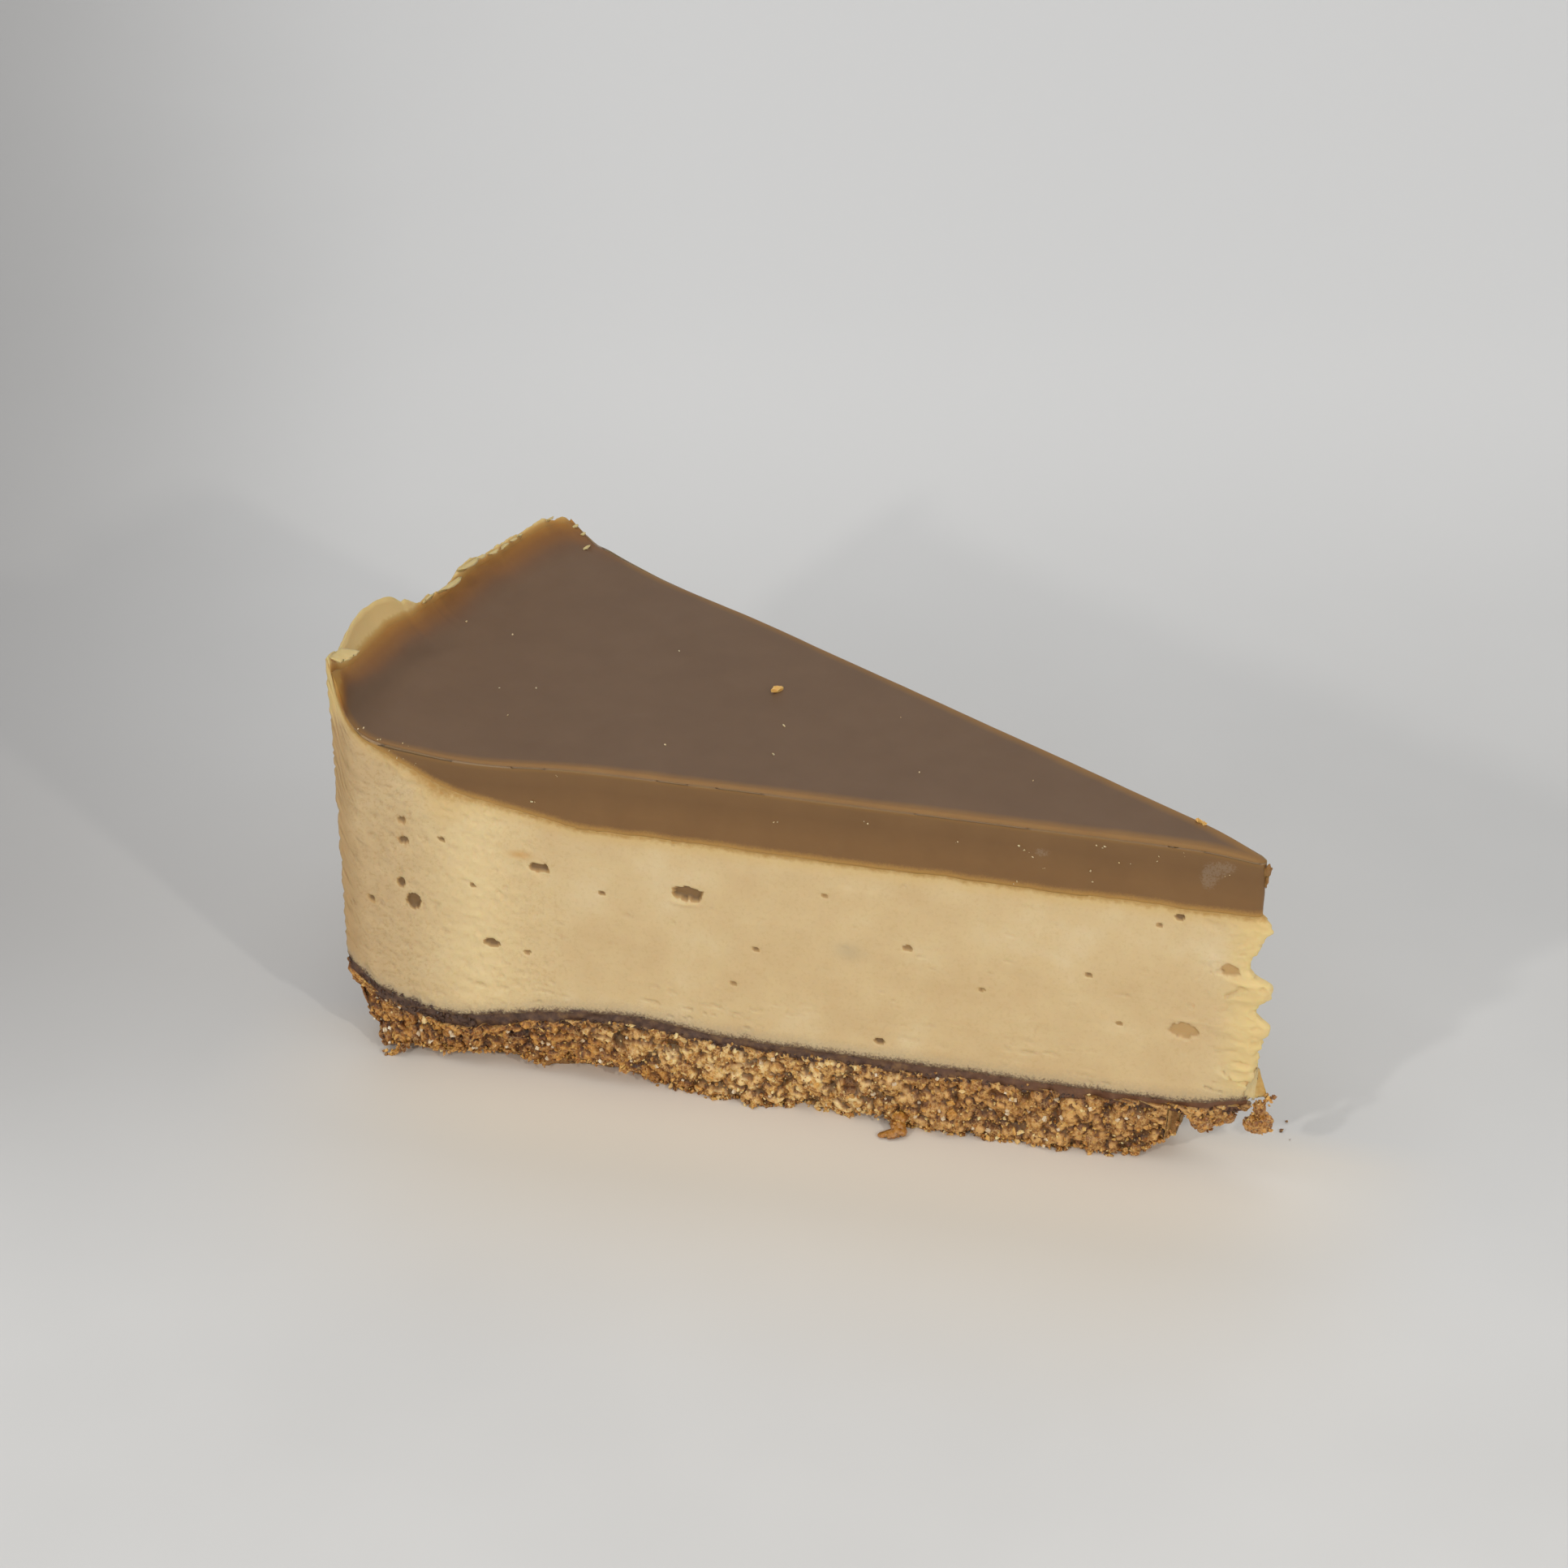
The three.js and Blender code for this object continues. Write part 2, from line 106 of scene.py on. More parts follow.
def hashed(cells, seed):
    # a random value from -1 to 1 for each whole-number place, the same on every run
    key = cells @ np.array([73856093, 19349663, 83492791]) + seed * 7919
    key = ((key ^ (key >> 13)) * 1274126177) & 0x7FFFFFFF
    key = ((key ^ (key >> 15)) * 668265263) & 0x7FFFFFFF
    return 2 * (key ^ (key >> 16)) / 0x7FFFFFFF - 1


def latticeNoise(points, seed):
    # smooth random values from -1 to 1; points has its three axes last
    cell = np.floor(points).astype(np.int64)
    part = points - cell
    part = part * part * (3 - 2 * part)
    total = np.zeros(points.shape[:-1])
    for corner in np.ndindex(2, 2, 2):
        total += np.prod(np.where(corner, part, 1 - part), axis=-1) * hashed(cell + corner, seed)
    return total


def roughNoise(x, y, z, sizes, seed):
    # sizes: (width in mm, height in mm) of each octave, finer ones last
    total = 0
    for order, (width, height) in enumerate(sizes):
        points = np.stack(np.broadcast_arrays(x / width, y / width, z / height), axis=-1)
        octave = latticeNoise(points + noiseLook["octaveShift"] * order, seed + order)
        total = total + octave / noiseLook["octaveFade"] ** order
    return total


def packedGrains(x, y, z, size, seed):
    # grains pressed together: 1 on top of a grain down to 0 between them, and each grain's own tone
    points = np.stack(np.broadcast_arrays(x, y, z), axis=-1) / size
    cell = np.floor(points).astype(np.int64)
    nearest, tone = np.full(points.shape[:-1], 9.0), np.zeros(points.shape[:-1])
    for corner in np.ndindex(3, 3, 3):
        home = cell + np.array(corner) - 1
        scatter = np.stack([hashed(home, seed + axis) for axis in range(3)], axis=-1)
        centre = home + 0.5 + noiseLook["grainScatter"] * scatter
        distance = np.linalg.norm(points - centre, axis=-1)
        tone = np.where(distance < nearest, hashed(home, seed + 3), tone)
        nearest = np.minimum(distance, nearest)
    return np.sqrt(np.maximum(0, 1 - (nearest / noiseLook["grainReach"]) ** 2)), tone


# The surfaces between the layers
rim = {
    "thickness": 0.5, "flare": 0.9, "rounding": 0.5,
    "chipHeight": 0.1, "chipLong": 1.3, "chipShort": 3.1,
    # finer teeth than the solid's: mm round the rim for each degree, then how high they are
    "perDegree": 2, "flakeHeight": 0.42, "toothHeight": 0.16, "toothSwing": 0.14, "held": 0.85,
    "dishStart": 82, "dishEnd": 112.5, "dishRise": 9.6, "dishPower": 1.6,
    "sagAt": 100.5, "sagWidth": 6, "sagDepth": 0.8, "unevenFloor": 0.13,
    # its edge: degrees from the middle of the slice, height above the table
    "edge": [
        (-14.6, 58.0), (-13.4, 57.4), (-12.0, 56.4), (-8.3, 55.8), (-4.6, 55.4), (-2.8, 53.2), (-0.6, 51.7),
        (1.4, 51.2), (4.0, 52.3), (7.0, 51.4), (11.5, 51.5), (13.6, 50.7), (14.6, 49.6),
    ],
    # where it has come loose it leans out, bare above the topping
    "leanAngle": -7, "leanWidth": 4.2, "leanOut": 2.2, "leanFrom": 48, "leanTo": 55,
    # how far below the edge the spread ends: degrees from the middle of the slice, mm
    "bareBelow": [
        (-14.6, 0.4), (-13.2, 1.3), (-11, 2.5), (-8.5, 3.0), (-6, 3.0), (-4, 2.2), (-2.2, 1.1), (-0.8, 0.3),
        (2.2, 0.2), (3.6, 0.9), (5.2, 0.3), (14.6, 0.15),
    ],
}
pour = {
    "radius": 114.2, "troughAt": 97, "troughWidth": 10, "troughDepth": 0.8, "troughSwing": 0.35,
    "filletHeight": 10, "filletNear": 114.4, "filletFar": 113.5, "filletReach": 1.5,
    "droopDepth": 0.9, "droopWidth": 5,
    "filmInwards": 0.45, "filmDeep": 1.5, "filmSunk": 0.06,  # how far the film stands in front of the rim
}
seam = {
    "thickness": 1.3, "humpAt": 74, "humpWidth": 9, "humpHeight": 1.2,
    "dipAt": 97, "dipWidth": 8, "dipDepth": 2.2, "swing": 4, "fade": 0.25,
    "climbFrom": 105, "climbHeight": 5, "tipRise": 1.6, "tipWidth": 5,
    "poolAt": 100, "poolWidth": 9, "poolExtra": 0.5,
}


def seamTop(x, y):
    rho, phi = fromApex(x, y)
    strength = 1 - seam["fade"] * (1 - (phi / half) ** 2)
    swing = seam["swing"] * phi / half
    hump = seam["humpHeight"] * bump((rho - seam["humpAt"] + swing) / seam["humpWidth"])
    dip = seam["dipDepth"] * bump((rho - seam["dipAt"] + swing) / seam["dipWidth"])
    share = np.maximum(0, rho - seam["climbFrom"]) / (radius - seam["climbFrom"])
    tipRise = seam["tipRise"] * bump(rho / seam["tipWidth"])
    return wedge["seamLevel"] + strength * (hump - dip) + seam["climbHeight"] * share ** 3 + tipRise


def seamBottom(x, y):
    rho = fromApex(x, y)[0]
    thicker = seam["poolExtra"] * bump((rho - seam["poolAt"]) / seam["poolWidth"])
    return seamTop(x, y) - seam["thickness"] - thicker


def looseness(phi):
    return bump((np.degrees(phi) - rim["leanAngle"]) / rim["leanWidth"])


def dishHeight(rho):
    share = np.maximum(0, rho - rim["dishStart"]) / (rim["dishEnd"] - rim["dishStart"])
    return wedge["fillingLevel"] + rim["dishRise"] * share ** rim["dishPower"]


def raggedEdge(phi):
    # the torn edge of the rim: chips and uneven teeth, hardly any where it leans out
    degrees = np.degrees(phi)
    along = rim["perDegree"] * degrees
    teeth, patch, flakes = [
        roughNoise(along, 0 * along, 0 * along, [(width, 1) for width in widths], seed)
        for widths, seed in (((0.9, 0.45), 41), ((6,), 43), ((3.4, 1.5), 47))]
    chips = np.sin(rim["chipShort"] * degrees) * np.sin(rim["chipLong"] * degrees + 1)
    torn = rim["flakeHeight"] * stepped(flakes, 3) + (rim["toothHeight"] + rim["toothSwing"] * patch) * teeth
    return easedCurve(rim["edge"], degrees) + rim["chipHeight"] * chips + (1 - rim["held"] * looseness(phi)) * torn


def fillingTop(x, y):
    rho, phi = fromApex(x, y)
    inside = radius - rim["thickness"]
    edge = raggedEdge(phi)
    crest = edge - rim["rounding"] * ((rho - inside) / rim["thickness"]) ** 2
    slope = dishHeight(rho) + (edge - dishHeight(inside)) * np.exp(np.minimum(0, rho - inside) / rim["flare"])
    sag = rim["sagDepth"] * bump((rho - rim["sagAt"]) / rim["sagWidth"]) * smooth(-phi / half, 0, 0.9)
    uneven = rim["unevenFloor"] * roughNoise(x, y, 0 * rho, [(3.2, 1), (1.2, 1), (0.6, 1)], 29)
    return np.where(rho >= inside, crest, slope - sag + uneven * (1 - smooth(rho, 104, 111)))


def filmEdge(phi):
    # the height that the spread reaches on the inside of the rim
    return sum(easedCurve(rim["edge"], turned) - easedCurve(rim["bareBelow"], turned)
               for turned in (np.degrees(phi) + shift for shift in (-0.8, 0, 0.8))) / 3


def stepped(value, steps):
    # turns smooth swells into thin ledges
    low = np.floor(value * steps)
    return (low + smooth(value * steps - low, 0.6, 1)) / steps


def filmHeight(x, y, level, edge, deep):
    # the film's face stands in front of the rim, less and less up to its edge
    rho = np.maximum(fromApex(x, y)[0], 1e-6)
    low, high = level + 0 * rho, edge + 0 * rho
    for _ in range(14):
        z = (low + high) / 2
        inwards = pour["filmInwards"] * smooth(edge - z, 0, 3) + deep * smooth(edge - z, 1, 6) - pour["filmSunk"]
        share = (rho + inwards) / rho
        covered = fillingTop(apexX + (x - apexX) * share, apexY + (y - apexY) * share) > z
        low, high = np.where(covered, z, low), np.where(covered, high, z)
    return z


def toppingTop(x, y):
    rho, phi = fromApex(x, y)
    side = phi / half
    level = wedge["toppingLevel"]
    depth = pour["troughDepth"] * (1 - pour["troughSwing"] * side)
    dip = depth * bump((rho - pour["troughAt"]) / pour["troughWidth"])
    droop = pour["droopDepth"] * bump(rho / pour["droopWidth"])
    room = filmEdge(phi) - level
    wall = pour["filletNear"] + (pour["filletFar"] - pour["filletNear"]) * (side + 1) / 2
    climb = pour["filletHeight"] * np.exp((rho - wall) / pour["filletReach"])
    pooled = level - dip - droop + (climb ** -4.0 + room ** -4.0) ** -0.25
    thin, thick = [filmHeight(x, y, level, level + room, deep) for deep in (0, pour["filmDeep"])]
    return np.maximum(np.where(thin > level + 0.02, thin, 0), np.minimum(pooled, thick))


# Outlines, sides and closed layers
def unevenSteps(start, end, step, closeUps=()):
    # distances from start to end, closer together round each (place, reach, finer step)
    places = np.arange(start, end, 0.01)
    spacing = np.full(len(places), float(step))
    for at, reach, fine in closeUps:
        eased = fine + (step - fine) * smooth(abs(places - at), reach, 2 * reach)
        spacing = np.minimum(spacing, eased)
    count = np.cumsum(0.01 / spacing)
    return np.append(np.interp(np.arange(1, count[-1] - 0.5), count, places), end)


def outline(outer, nearStep, farStep, wallStep, closeUps=()):
    # stations round the slice, anticlockwise seen from above: near cut, tip, far cut, wall
    columns = []
    end = outer - wedge["cornerBevel"]
    for side, step, fine in ((-1, nearStep, closeUps), (1, farStep, ((0, 3, nearStep),))):
        rho = unevenSteps(wedge["tipStart"], end, step, fine)
        rho = rho[::-1] if side < 0 else rho
        width = wedge["tipHalfWidth"] * (1 - rho / outer)
        columns.append([
            apexX - rho * math.cos(half), apexY + side * (rho * math.sin(half) + width),
            0 * rho + math.sin(half), 0 * rho + side * math.cos(half), rho, 0 * rho + side * half,
        ])
    turn = np.radians(np.linspace(-wedge["tipTurn"], wedge["tipTurn"], 9))
    tip = [
        apexX + wedge["tipHalfWidth"] * np.cos(turn) - wedge["tipSetback"],
        apexY + wedge["tipHalfWidth"] * np.sin(turn),
        np.cos(turn), np.sin(turn), 0 * turn, 0 * turn,
    ]
    reach = half - wedge["cornerBevel"] / outer
    phi = np.linspace(reach, -reach, round(2 * reach * outer / wallStep))
    wall = [
        apexX - outer * np.cos(phi), apexY + outer * np.sin(phi),
        -np.cos(phi), np.sin(phi), 0 * phi + outer, phi,
    ]
    columns = [columns[0], tip, columns[1], wall]
    joined = np.concatenate([np.array(column) for column in columns], axis=1)
    stations = dict(zip(["x", "y", "outX", "outY", "rho", "phi"], joined))
    kinds = [np.full(len(column[0]), kind) for column, kind in zip(columns, (-1, 0, 1, 2))]
    stations["kind"] = np.concatenate(kinds)  # -1 near cut, 0 tip, 1 far cut, 2 outer wall
    return stations


def sidePoint(stations, z, out=0):
    # a place on the side of the slice at a height, moved out by so much
    rho, phi = stations["rho"], stations["phi"]
    tucked = wedge["tuckDepth"] * (1 - smooth(z, 0, wedge["tuckHeight"]))
    tucked = tucked * smooth(rho, radius - wedge["tuckWidth"], radius)
    wave = wedge["rippleAlong"] * rho + wedge["rippleAround"] * phi + wedge["rippleUp"] * z
    shreds = stepped(roughNoise(0.4 * stations["x"], stations["y"], z, wedge["tearSizes"], wedge["tearSeed"]), 2)
    torn = easedCurve(wedge["tipTears"], z) + wedge["tearShreds"] * shreds
    upright = smooth(z, wedge["tearFrom"], wedge["tearFrom"] + wedge["tearEased"])
    upright = upright * (1 - smooth(z, wedge["fillingLevel"] - 0.4, wedge["fillingLevel"]))
    tear = torn * upright * bump(rho / wedge["tearReach"])
    push = out + wedge["rippleHeight"] * np.sin(wave)
    x = stations["x"] + tucked * np.cos(phi) + stations["outX"] * push + tear
    y = stations["y"] - tucked * np.sin(phi) + stations["outY"] * push
    return np.stack(np.broadcast_arrays(x, y, z), axis=-1)


def facePlace(stations, z):
    # distance from the tip and way round the slice, for every height
    return stations["rho"] + 0 * z, wedge["aroundScale"] * stations["phi"] + 0 * z


def pickStations(stations, chosen):
    return {name: values[chosen] for name, values in stations.items()}


def edgeOf(stations, surface):
    # the heights at which the side meets a surface
    point = np.stack([stations["x"], stations["y"]], axis=-1)
    for _ in range(4):
        point = sidePoint(stations, surface(point[..., 0], point[..., 1]))
    return point[..., 2]


def leaned(points):
    # where the rim has come loose it leans out
    rho, phi = fromApex(points[..., 0], points[..., 1])
    share = smooth(points[..., 2], rim["leanFrom"], rim["leanTo"]) * smooth(rho, radius - 6, radius - 1)
    out = rim["leanOut"] * looseness(phi) * share
    return points + np.stack([-out * np.cos(phi), out * np.sin(phi), 0 * out], axis=-1)


def closedLayer(stations, top, bottom, rows, topInsets, bottomInsets, relief, rounding=None):
    # rings from the middle of the top, down the side, to the middle of the underside
    upper, lower = edgeOf(stations, top), edgeOf(stations, bottom)
    z = upper + (lower - upper) * np.linspace(0, 1, rows + 1)[:, None]
    side = sidePoint(stations, z, relief(stations, z))

    def cap(edge, surface, insets):
        rings = []
        for inset in insets:
            place = middle + (edge[:, :2] - middle) * (1 - inset / middleDepth)
            height = surface(place[:, 0], place[:, 1])
            drop = 0 if rounding is None else rounding(stations, inset)
            rings.append(np.column_stack([place, height - drop]))
        return rings

    topRings = cap(side[0], top, topInsets)[::-1]
    bottomRings = cap(side[-1], bottom, bottomInsets)
    if rounding is not None:
        side[0, :, 2] -= rounding(stations, 0)
    rings = leaned(np.array([*topRings, *side, *bottomRings]))
    count, n = rings.shape[:2]
    centres = np.array([[*middle, surface(*middle)] for surface in (top, bottom)])
    points = np.concatenate([rings.reshape(-1, 3), centres])
    upperLeft = np.arange((count - 1) * n).reshape(-1, n)
    upperRight = np.roll(upperLeft, -1, axis=1)
    quads = np.stack([upperLeft, upperLeft + n, upperRight + n, upperRight], axis=-1).reshape(-1, 4)
    around = np.arange(n)
    nextAround = np.roll(around, -1)
    last = (count - 1) * n
    fans = [(len(points) - 2, a, b) for a, b in zip(around, nextAround)]
    fans += [(len(points) - 1, last + b, last + a) for a, b in zip(around, nextAround)]
    sideSlice = slice(len(topRings) * n, (len(topRings) + rows + 1) * n)
    return points, quads.tolist() + fans, sideSlice, z


# Colours, materials and pieces
def linear(hexColour):
    channels = [int(hexColour[i:i + 2], 16) / 255 for i in (1, 3, 5)]
    return (*[c / 12.92 if c <= 0.04045 else ((c + 0.055) / 1.055) ** 2.4 for c in channels], 1)


def perMetre(size):
    return metre / size  # a texture's scale for features of a size in millimetres


def addNode(tree, kind, inputs=None, output=0, **settings):
    # inputs: a socket to link from, or a value; "stops" fills a colour ramp; gives back one output
    node = tree.nodes.new("ShaderNode" + kind)
    for name, value in settings.items():
        if name == "stops":
            ramp = node.color_ramp.elements
            while len(ramp) < len(value):
                ramp.new(0.5)
            for element, (position, colour) in zip(ramp, value):
                element.position, element.color = position, linear(colour)
        else:
            setattr(node, name, value)
    for name, value in (inputs or {}).items():
        if isinstance(value, bpy.types.NodeSocket):
            tree.links.new(value, node.inputs[name])
        else:
            node.inputs[name].default_value = value
    return node.outputs[output] if len(node.outputs) else None


def newMaterial(name, markNames=()):
    # a material without a shader yet, the place in it, and what is painted on its mesh
    material = bpy.data.materials.new(name)
    material.use_nodes = True
    tree = material.node_tree
    tree.nodes.clear()
    mark = {name: addNode(tree, "Attribute", output="Fac", attribute_name=name) for name in markNames}
    return material, tree, addNode(tree, "TexCoord", output="Object"), mark


def finishMaterial(tree, values):
    addNode(tree, "OutputMaterial", {"Surface": addNode(tree, "BsdfPrincipled", values)})


def softened(depth, *reach):
    # light sinks in: how much of it, and how far in mm
    *colours, scale = reach
    return {"Subsurface Weight": depth, "Subsurface Radius": tuple(colours), "Subsurface Scale": scale / metre}


def layeredColour(tree, below, colour, share, low, high, most):
    # a colour laid over another where a mark runs from low (most of it) to high (none)
    laid = addNode(tree, "MapRange", {
        "Value": share, "From Min": low, "From Max": high, "To Min": most, "To Max": 0,
    }, interpolation_type="SMOOTHSTEP")
    above = linear(colour) if isinstance(colour, str) else colour
    return addNode(tree, "Mix", {0: laid, 6: below, 7: above}, 2, data_type="RGBA")


def shifted(tree, value, noise, spread):
    # a mark made uneven by a noise, so that its border isn't a clean line
    centred = addNode(tree, "Math", {0: noise, 1: 0.5}, operation="SUBTRACT")
    return addNode(tree, "Math", {0: centred, 1: spread, 2: value}, operation="MULTIPLY_ADD")


def filmColour(tree, below, aboveFilm, noise, low, high):
    # the spread's film on the rim, golden where it thins out: laid where a mark is under low
    depth = addNode(tree, "MapRange", {"Value": aboveFilm, "From Min": 0.5, "From Max": -4.5})
    film = addNode(tree, "ValToRGB", {"Fac": depth}, stops=[
        (0.1, "#c5a363"), (0.18, "#b98d48"), (0.3, "#a37030"), (0.46, "#8a5e2f"), (0.7, "#775539"), (1.0, "#6f563f")])
    return layeredColour(tree, below, film, shifted(tree, aboveFilm, noise, 0.9), low, high, 1)


def addPiece(name, points, faces, material, marks=None, flat=False):
    # marks: a value for each point, or one for all of them
    mesh = bpy.data.meshes.new(name)
    mesh.from_pydata((points / metre).tolist(), [], faces)
    for mark, values in (marks or {}).items():
        values = np.broadcast_to(np.ravel(values), len(points)).astype(np.float32)
        mesh.attributes.new(mark, "FLOAT", "POINT").data.foreach_set("value", values)
    mesh.polygons.foreach_set("use_smooth", np.full(len(mesh.polygons), not flat))
    mesh.materials.append(material)
    mesh.update()
    piece = bpy.data.objects.new(name, mesh)
    bpy.context.scene.collection.objects.link(piece)
    print(name + ":", len(points), "points,", len(faces), "faces")
    return piece


# The cream filling
cream = {
    "nearStep": 0.36, "farStep": 0.8, "wallStep": 0.32, "rows": 110,
    # hollows in a cut: distance from the tip, height, half length, half height, depth
    "nearPores": [
        (88.9, 31.5, 1.5, 0.8, 0.7), (70.1, 30.8, 2.1, 1.1, 0.8), (105.6, 24.1, 1.0, 1.4, 0.8),
        (106.5, 33.0, 0.8, 0.6, 0.5), (106.6, 36.0, 0.6, 0.5, 0.4), (95.7, 19.3, 1.2, 0.7, 0.6),
        (8.3, 20.4, 2.4, 1.25, 0.42), (3.2, 30.0, 1.7, 1.1, 0.32), (9.6, 36.8, 0.7, 0.45, 0.5),
        (42.5, 27.0, 0.8, 0.45, 0.4), (107.1, 26.6, 0.6, 0.7, 0.5), (101.5, 33.9, 0.5, 0.35, 0.4),
        (97.7, 27.7, 0.5, 0.35, 0.35), (81.1, 29.0, 0.45, 0.35, 0.35), (91.0, 18.7, 0.6, 0.35, 0.35),
        (61.6, 23.8, 0.5, 0.35, 0.35), (20.3, 26.7, 0.5, 0.35, 0.35), (45.9, 12.5, 0.9, 0.5, 0.6),
        (111.1, 23.6, 0.5, 0.6, 0.4), (12.0, 35.3, 0.45, 0.3, 0.3), (16.2, 20.1, 0.5, 0.3, 0.3),
        (64.5, 18.2, 0.5, 0.3, 0.3), (53.0, 33.1, 0.4, 0.25, 0.25), (33.2, 22.4, 0.4, 0.3, 0.3),
    ],
    "farPores": [
        (22, 30, 1.1, 0.8, 0.7), (38, 19.5, 1.6, 0.9, 0.8), (57, 31.5, 0.9, 0.6, 0.5),
        (71, 22, 1.3, 1.0, 0.8), (88, 27, 1.7, 0.9, 0.8), (101, 34, 0.8, 0.6, 0.5),
    ],
    "largeFrom": 2, "raggedLarge": 0.36, "raggedSmall": 0.18,  # how torn their borders are
    # pale shreds that stand up beside hollows and tears: place, half length, half height, how far
    "lips": [
        (70.4, 29.3, 1.7, 0.4, 0.35), (2.4, 28.6, 1.1, 0.35, 0.4), (8.2, 22.0, 1.5, 0.25, 0.25),
        (1.6, 16.1, 1.0, 0.3, 0.4), (2.8, 14.6, 1.0, 0.35, 0.35), (2.6, 26.2, 0.9, 0.3, 0.3),
    ],
    # torn lines in the near cut by the broken end: depth, then distances from the tip and heights
    "tears": [
        (0.5, (5.6, 29.5), (3.6, 29.8)), (0.65, (3.6, 26.3), (2.2, 28.1)), (0.6, (0.4, 28.6), (1.0, 28.0)),
        (0.45, (2.1, 21.8), (0.4, 22.7)), (0.35, (4.2, 18.0), (1.9, 18.8), (0.5, 20.7)),
        (0.7, (2.6, 16.9), (0.5, 16.6)), (0.6, (3.4, 15.1), (2.1, 14.2), (0.4, 13.7)),
        (0.5, (5.3, 12.4), (3.3, 12.1)), (0.2, (10.9, 37.0), (10.2, 37.1)), (0.25, (7.9, 24.3), (7.4, 23.9)),
    ],
    # faint stains on the near cut: distance from the tip, height, half length, half height
    "smear": (91.5, 33.2, 1.5, 0.5), "smudge": (49.8, 25.5, 1.8, 1.3),
    "teethAt": 106, "teethWidth": 5,  # where its lower edge is most torn
    "insets": [0.03, 0.07, 0.12, 0.18, 0.25, 0.35, 0.5, 0.7, 1.0, 1.5, 2.4, 4, 7, 12],
    # its unevenness: widths and heights in mm, and a seed
    "noises": {
        "grain": ([(0.9, 0.8), (0.5, 0.45)], 3), "swell": ([(7, 5), (2.6, 1.8)], 7),
        "drag": ([(14, 1.1), (6, 0.5)], 11), "pits": ([(0.9, 0.8), (0.55, 0.5)], 49),
        "patches": ([(8, 2.6), (3, 1.2)], 17), "crack": ([(2.2, 0.42), (0.9, 0.3), (0.5, 0.22)], 19),
        "nick": ([(1.2, 0.5), (0.6, 0.3)], 15), "plates": ([(3.0, 2.0), (1.3, 0.9), (0.6, 0.4)], 23),
        "grit": ([(0.8, 0.5), (0.35, 0.3)], 13),
    },
    "swellHeight": 0.05, "dragHeight": 0.028, "pitDepth": 0.26, "crackDepth": 0.42, "nickDepth": 0.2,
    "brokenReach": (3.0, 5.6), "plateHeight": 0.26, "gritHeight": 0.1, "brokenSunk": 0.05,
    "wander": [(0.9, 0.9), (0.4, 0.4)], "tearWidth": 0.24,
}


def poreShape(stations, z):
    # how steep-sided the hollow at a place is, which sets the painted shade in it, and how deep it goes, with a torn
    # border
    steepness, depth = 0 * z, 0 * z
    for kind, pores in ((-1, cream["nearPores"]), (1, cream["farPores"])):
        for order, (rho, height, length, tall, deep) in enumerate(pores):
            across = (stations["rho"] - rho) / length + 0 * z
            up = (z - height) / tall
            reach = np.hypot(across, up)
            near = reach < 1.6
            torn = roughNoise(across[near] * length, order, up[near] * tall, [(1.1, 0.8), (0.5, 0.4), (0.3, 0.25)], 5)
            inside = np.zeros(z.shape)
            torn *= cream["raggedLarge"] if length > cream["largeFrom"] else cream["raggedSmall"]
            inside[near] = 1 - smooth(reach[near] + torn, 0.66, 0.9)
            inside = inside * (stations["kind"] == kind)
            steepness = np.maximum(steepness, inside * deep ** 2 / length)
            depth = np.maximum(depth, inside * deep)
    return steepness, depth


def tearDepth(stations, z):
    # thin torn lines in the near cut, each with a wandering course
    rho, depth = stations["rho"] + 0 * z, 0 * z
    wander = 0.22 * roughNoise(rho, 0 * z, z, cream["wander"], 45)
    for deep, *line in cream["tears"]:
        for (startRho, startZ), (endRho, endZ) in zip(line, line[1:]):
            length = math.hypot(endRho - startRho, endZ - startZ)
            ahead = (endRho - startRho) / length, (endZ - startZ) / length
            along = np.clip((rho - startRho) * ahead[0] + (z - startZ) * ahead[1], 0, length)
            away = np.hypot(rho - startRho - along * ahead[0], z - startZ - along * ahead[1])
            depth = np.maximum(depth, 0.8 * deep * (1 - smooth(away + wander, 0.0, cream["tearWidth"])))
    return depth * (stations["kind"] == -1)


def creamBottom(x, y):
    # the torn, crumb-studded edge over the dark layer
    rho, phi = fromApex(x, y)
    teeth = roughNoise(x, y, 0 * rho, [(1.5, 1), (0.7, 1), (0.4, 1)], 21)
    strength = 0.14 + 0.4 * bump((rho - cream["teethAt"]) / cream["teethWidth"]) * smooth(-phi / half, 0, 0.9)
    return seamTop(x, y) + strength * teeth


